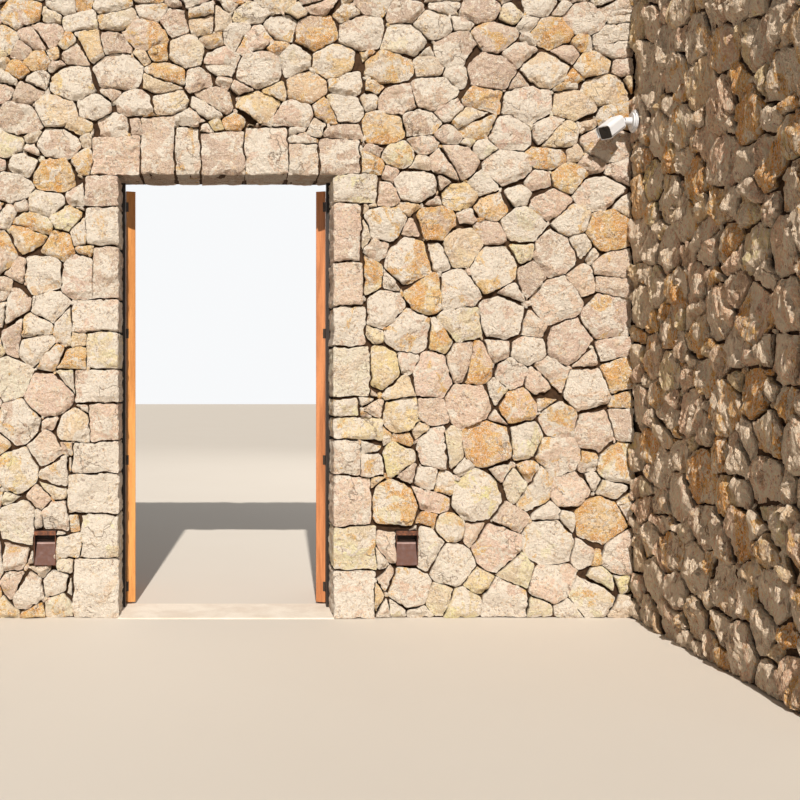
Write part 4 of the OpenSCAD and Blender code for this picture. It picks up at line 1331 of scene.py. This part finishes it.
class GATEWAY_OT_return_wall(bpy.types.Operator):
    """Lays the rubble of the return wall on its inner and outer face, its end and its top"""
    bl_idname = "gateway.return_wall"
    bl_label = "Return Wall"

    def execute(self, context):
        settings = context.scene.gateway_masonry
        rng = random.Random(settings.seed + 1)
        noise.seed_set(settings.seed)
        inner, outer = Heap(), Heap()
        base_low, base_high = node_limits("camera_base_plate")
        mount = (RETURN_INNER.origin[1] - (base_low[1] + base_high[1]) / 2, (base_low[2] + base_high[2]) / 2,
                 0.125, "grey")
        stones = lay_out(rng, RETURN_INNER, (), [mount])
        lay_face(rng, settings, RETURN_INNER, stones, lambda centre: inner, free_edges(RETURN_INNER.width),
                 # The extra chips here are painted glints that stand for sunlit grains on this shaded wall.
                 joint=2.0, level=1.6, chips=0.2, marked={"lift": -0.004, "boldness": 0.2, "rim": 0.012},
                 spacing=settings.street_grain * 0.95, boldness=1.3, rim=0.020)
        for face, free, cut in ((RETURN_OUTER, free_edges(0), {}), (RETURN_END, None, END_CUT),
                                (RETURN_RIDGE, None, END_CUT)):
            lay_face(rng, settings, face, lay_out(rng, face), lambda centre: outer, free,
                     spacing=settings.court_grain, **cut)
        # This finish is a copy of the split limestone whose warm cast is painted light for the warm light in
        # the wall's shade.
        finish = shared_finish("raking_light_limestone", stone_finish, settings, 0.075,
                               (1.15, 0.97, 0.80), 0.4)
        finish_masonry(inner.make("return_wall_inner_stones"), settings, "return_wall", "rubble_limestone",
                       finish, 3.0, 0.35, 0.055)
        finish_masonry(outer.make("return_wall_outer_stones"), settings, "return_wall", "rubble_limestone",
                       shared_finish("split_limestone", stone_finish, settings), 1.2)
        pin_joints(rng, RETURN_INNER, stones, settings, "return_wall", finish, 0.2)
        lay_bed([((RETURN_LOW[0] + BED_BACK, RETURN_LOW[1] + BED_BACK, 0.0),
                  (RETURN_HIGH[0] - BED_BACK, RETURN_HIGH[1] - BED_BACK, WALL_TOP - BED_BACK))],
                settings, "return_wall")
        return {"FINISHED"}


DRESSED_TONES = ["grey", "pink", "grey", "pale", "cream", "pink", "grey"]

# How far the corners of jamb and lintel stones are out of true, how far their faces stand out, how
# sharp they are, how far apart the points of their sides are, and how wide an edge counts as showing
JAMB_PLAY, LINTEL_PLAY, SOFFIT_PLAY, FACE_PLAY, SHARPNESS = 0.006, 0.005, 0.004, (-0.006, 0.004), 0.7
JAMB_SIDES, LINTEL_SIDES, EDGE_BAND = 0.018, 0.022, 0.02


def dressed_outline(rng, x0, x1, z0, z1, play, fixed_x=None):
    """A squared stone's outline with its corners out of true, but straight at the reveal."""
    corners = [[x0, z0], [x1, z0], [x1, z1], [x0, z1]]
    for corner in corners:
        if fixed_x is None or abs(corner[0] - fixed_x) > 1e-6:
            corner[0] += rng.uniform(-1, 1) * play
        corner[1] += rng.uniform(-0.3, 0.3) * play
    return np.array(corners)


def dressed_look(rng, settings, up):
    """The look of a squared stone, which is less stained than the rubble."""
    look = stone_look(rng, settings, rng.choice(DRESSED_TONES), up)
    return look._replace(ochre=look.ochre * 0.7)


def shows_at(axis, place, share):
    """How far a stone's sides darken, as earth and as painted shade, which is less at the edge that shows in
    the opening.
    """
    return lambda points: np.where(np.abs(points[:, axis] - place) < EDGE_BAND, share, 1.0)


class GATEWAY_OT_dressed_stones(bpy.types.Operator):
    """Lays the squared jamb stones and the flat lintel, and finishes the threshold slab"""
    bl_idname = "gateway.dressed_stones"
    bl_label = "Jambs, Lintel and Threshold"

    def execute(self, context):
        settings = context.scene.gateway_masonry
        rng = random.Random(settings.seed + 2)
        noise.seed_set(settings.seed)
        finish = shared_finish("squared_limestone", stone_finish, settings)
        street = Face((0, FRONT_Y, 0), RIGHTWARD, UPWARD, 1, 1)
        court = Face((0, REAR_Y, 0), LEFTWARD, UPWARD, 1, 1)
        for side, sign in (("left", -1), ("right", 1)):
            heap = Heap()
            for low, high in solid_boxes(side + "_jamb_stones"):
                shape = dressed_outline(rng, low[0], high[0], low[2], high[2], JAMB_PLAY, sign * JAMB_X)
                look = dressed_look(rng, settings, low[2])
                lay_stone(heap, rng, street, shape, look, settings.street_grain,
                          POST_Y - FRONT_Y - LIGHT_GAP, rng.uniform(*FACE_PLAY), sharpness=SHARPNESS,
                          back_spacing=JAMB_SIDES, bare=shows_at(0, sign * JAMB_X, 0.25))
                x0, x1 = (low[0], -POST_X) if sign < 0 else (POST_X, high[0])
                shape = dressed_outline(rng, -x1, -x0, low[2], high[2], JAMB_PLAY, -sign * POST_X)
                lay_stone(heap, rng, court, shape, look, settings.court_grain,
                          REAR_Y - POST_Y - POST_GAP, rng.uniform(-0.008, 0.0), sharpness=SHARPNESS)
            finish_masonry(heap.make(side + "_jamb_blocks"), settings, side + "_jamb_stones",
                           "dressed_limestone", finish)
        heap = Heap()
        for low, high in sorted(solid_boxes("lintel_stones"), key=lambda b: b[0][0]):
            look = dressed_look(rng, settings, low[2])
            for face, flip, grain in ((street, 1, settings.street_grain), (court, -1, settings.court_grain)):
                x0, x1 = sorted((flip * low[0], flip * high[0]))
                shape = dressed_outline(rng, x0, x1, low[2], high[2], LINTEL_PLAY)
                shape[:2, 1] = low[2] + np.array([rng.uniform(0, SOFFIT_PLAY), rng.uniform(0, SOFFIT_PLAY)])
                lay_stone(heap, rng, face, shape, look, grain, -FRONT_Y - LIGHT_GAP,
                          rng.uniform(*FACE_PLAY), sharpness=SHARPNESS, back_spacing=LINTEL_SIDES,
                          # The soffit keeps much of the darkening, as painted shade under the lintel.
                          bare=shows_at(1, low[2], 0.68))
        finish_masonry(heap.make("lintel_blocks"), settings, "lintel_stones", "dressed_limestone", finish)
        dress("threshold_slab", slab_finish("honed_limestone"))
        return {"FINISHED"}


class GATEWAY_OT_timber(bpy.types.Operator):
    """Finishes the timber posts and the boarded leaves"""
    bl_idname = "gateway.timber"
    bl_label = "Posts and Leaves"

    def execute(self, context):
        timber = context.scene.gateway_timber
        # The posts' near-black colour is dark stain and painted shade of the gap beside the leaves.
        post = wood_finish("stained_post", timber.shaded_post_light, timber.shaded_post_dark, 0.0, 0.5, 0.5)
        for side, angle in (("left", 110), ("right", -110)):
            finish = wood_finish(side + "_leaf_timber", getattr(timber, side + "_light"),
                                 getattr(timber, side + "_dark"), math.radians(angle), timber.board_pitch)
            for node in ("_leaf_core", "_leaf_street_boards", "_leaf_court_boards"):
                dress(side + node, finish)
            dress(side + "_post", post)
        return {"FINISHED"}


class GATEWAY_OT_ironmongery(bpy.types.Operator):
    """Finishes the hinges, the lock, its lever and plates"""
    bl_idname = "gateway.ironmongery"
    bl_label = "Ironmongery"

    def execute(self, context):
        metal = context.scene.gateway_metal
        finish = worn_metal_finish("waxed_ironmongery", metal.bronze, metal.worn)
        for node in ("left_post_hinges", "right_post_hinges", "left_leaf_hinges", "right_leaf_hinges",
                     "lock_plate", "lever_roses", "key_plates", "lever", "strike_plate"):
            dress(node, finish)
        return {"FINISHED"}


class GATEWAY_OT_step_lights(bpy.types.Operator):
    """Finishes the two rusted steel step lights"""
    bl_idname = "gateway.step_lights"
    bl_label = "Step Lights"

    def execute(self, context):
        metal = context.scene.gateway_metal
        # The box is darkened behind its mouth as painted shade.
        box = rust_finish("rusty_box_steel", metal.rust_dark, metal.rust_light, 0.3, mouth=FRONT_Y + 0.004)
        lamp = shell_finish("frosted_diffuser", metal.diffuser, 0.4)
        for side, (low, _) in zip(("left", "right"), LIGHT_BOXES):
            dress(side + "_light_box", box)
            dress(side + "_light_plate", rust_finish(side + "_rusty_plate", metal.plate, PLATE_BLOOM, 0.5,
                                                     crest=low[2] + 0.120))
            dress(side + "_light_lamp", lamp)
        return {"FINISHED"}


class GATEWAY_OT_wall_camera(bpy.types.Operator):
    """Finishes the white wall camera and its bracket"""
    bl_idname = "gateway.wall_camera"
    bl_label = "Wall Camera"

    def execute(self, context):
        metal = context.scene.gateway_metal
        shell = shell_finish("white_moulding", metal.shell, 0.38)
        for node in ("camera_base_plate", "camera_stem", "camera_housing", "camera_sun_shield"):
            dress(node, shell)
        dress("camera_window", shell_finish("dark_glass", metal.window, 0.08, 0.3))
        return {"FINISHED"}


# The stage

FLOOR_REACH = 60.0
SUN_WAY, SUN_PLACE, SUN_WIDTH = Vector((0.085, 1.36, -1.0)), (-2, -8, 6), math.radians(0.8)
REAR_PLACE, REAR_GOAL, REAR_SIZE = Vector((5.5, 9.5, 7.5)), Vector((0.2, 0.0, 2.0)), (12.0, 7.0)
SUN_TINT, REAR_TINT = (1.0, 0.95, 0.875), (1.0, 0.98, 0.95)
SKY_TINT, SKY_SHOWN = (0.93, 0.96, 1.0, 1.0), (0.94, 0.95, 0.96, 1)
LENS_SHIFT = (0.2225, -0.02125)


class GATEWAY_OT_stage(bpy.types.Operator):
    """Lays the plain floor, hangs the lights and sets the viewpoint"""
    bl_idname = "gateway.stage"
    bl_label = "Floor, Lights and View"

    def execute(self, context):
        stage = context.scene.gateway_stage
        self.floor(stage)
        self.lights(stage)
        self.sky(context, stage)
        self.view(context, stage)
        return {"FINISHED"}

    def floor(self, stage):
        mesh = bpy.data.meshes.new("floor")
        corners = [(x * FLOOR_REACH, y * FLOOR_REACH, 0) for x, y in ((-1, -1), (1, -1), (1, 1), (-1, 1))]
        mesh.from_pydata(corners, [], [(0, 1, 2, 3)])
        mesh.materials.append(plain_finish("floor_plaster", stage.floor, 0.85))
        new_piece("floor", mesh)

    def lights(self, stage):
        sun = bpy.data.lights.new("key_sun", "SUN")
        sun.energy, sun.angle, sun.color = stage.sun_power, SUN_WIDTH, SUN_TINT
        wide = bpy.data.lights.new("rear_lamp", "AREA")
        wide.shape = "RECTANGLE"
        wide.size, wide.size_y = REAR_SIZE
        wide.energy, wide.color = stage.rear_power, REAR_TINT
        for light, place, way in ((sun, SUN_PLACE, SUN_WAY), (wide, REAR_PLACE, REAR_GOAL - REAR_PLACE)):
            lamp = new_piece(light.name, light)
            lamp.location = place
            lamp.rotation_euler = way.to_track_quat("-Z", "Y").to_euler()

    def sky(self, context, stage):
        world = bpy.data.worlds.new("pale_sky")
        world.use_nodes = True
        tree = world.node_tree
        sky = tree.nodes["Background"]
        sky.inputs["Color"].default_value = SKY_TINT
        sky.inputs["Strength"].default_value = stage.sky_power
        shown = put(tree, "ShaderNodeBackground", inputs={"Color": SKY_SHOWN, "Strength": 1.0})
        rays = tree.nodes.new("ShaderNodeLightPath").outputs
        seen = greater(tree, rays["Is Camera Ray"], rays["Is Glossy Ray"])
        seen = greater(tree, seen, rays["Is Transmission Ray"])
        both = put(tree, "ShaderNodeMixShader", inputs={0: seen, 1: sky.outputs[0], 2: shown.outputs[0]})
        tree.links.new(both.outputs[0], tree.nodes["World Output"].inputs[0])
        context.scene.world = world

    def view(self, context, stage):
        lens = bpy.data.cameras.new("street_view")
        lens.lens = stage.lens
        lens.sensor_width = 36
        lens.shift_x, lens.shift_y = LENS_SHIFT
        lens.clip_end = 200
        eye = new_piece("street_view", lens)
        eye.location = (stage.eye_x, stage.eye_y, stage.eye_height)
        eye.rotation_euler = (math.radians(90), 0, 0)
        context.scene.camera = eye
        context.scene.view_settings.view_transform = "Standard"


OPERATORS = (GATEWAY_OT_stage, GATEWAY_OT_rubble_walls, GATEWAY_OT_return_wall, GATEWAY_OT_dressed_stones,
             GATEWAY_OT_timber, GATEWAY_OT_ironmongery, GATEWAY_OT_step_lights, GATEWAY_OT_wall_camera)


class GATEWAY_PT_panel(bpy.types.Panel):
    """Lists the steps that build and finish the gateway"""
    bl_idname = "GATEWAY_PT_panel"
    bl_label = "Stone Wall Gateway"
    bl_space_type = "VIEW_3D"
    bl_region_type = "UI"
    bl_category = "Gateway"

    def draw(self, context):
        for step in OPERATORS:
            self.layout.operator(step.bl_idname)
        for key, group in SETTINGS.items():
            column = self.layout.column()
            for name in group.__annotations__:
                column.prop(getattr(context.scene, key), name)


def register():
    for group in SETTINGS.values():
        bpy.utils.register_class(group)
    for key, group in SETTINGS.items():
        setattr(bpy.types.Scene, key, PointerProperty(type=group))
    for step in OPERATORS:
        bpy.utils.register_class(step)
    bpy.utils.register_class(GATEWAY_PT_panel)


def unregister():
    bpy.utils.unregister_class(GATEWAY_PT_panel)
    for step in reversed(OPERATORS):
        bpy.utils.unregister_class(step)
    for key, group in SETTINGS.items():
        delattr(bpy.types.Scene, key)
        bpy.utils.unregister_class(group)


def main():
    register()
    for step in OPERATORS:
        group, name = step.bl_idname.split(".")
        getattr(getattr(bpy.ops, group), name)()


if __name__ == "__main__":
    main()
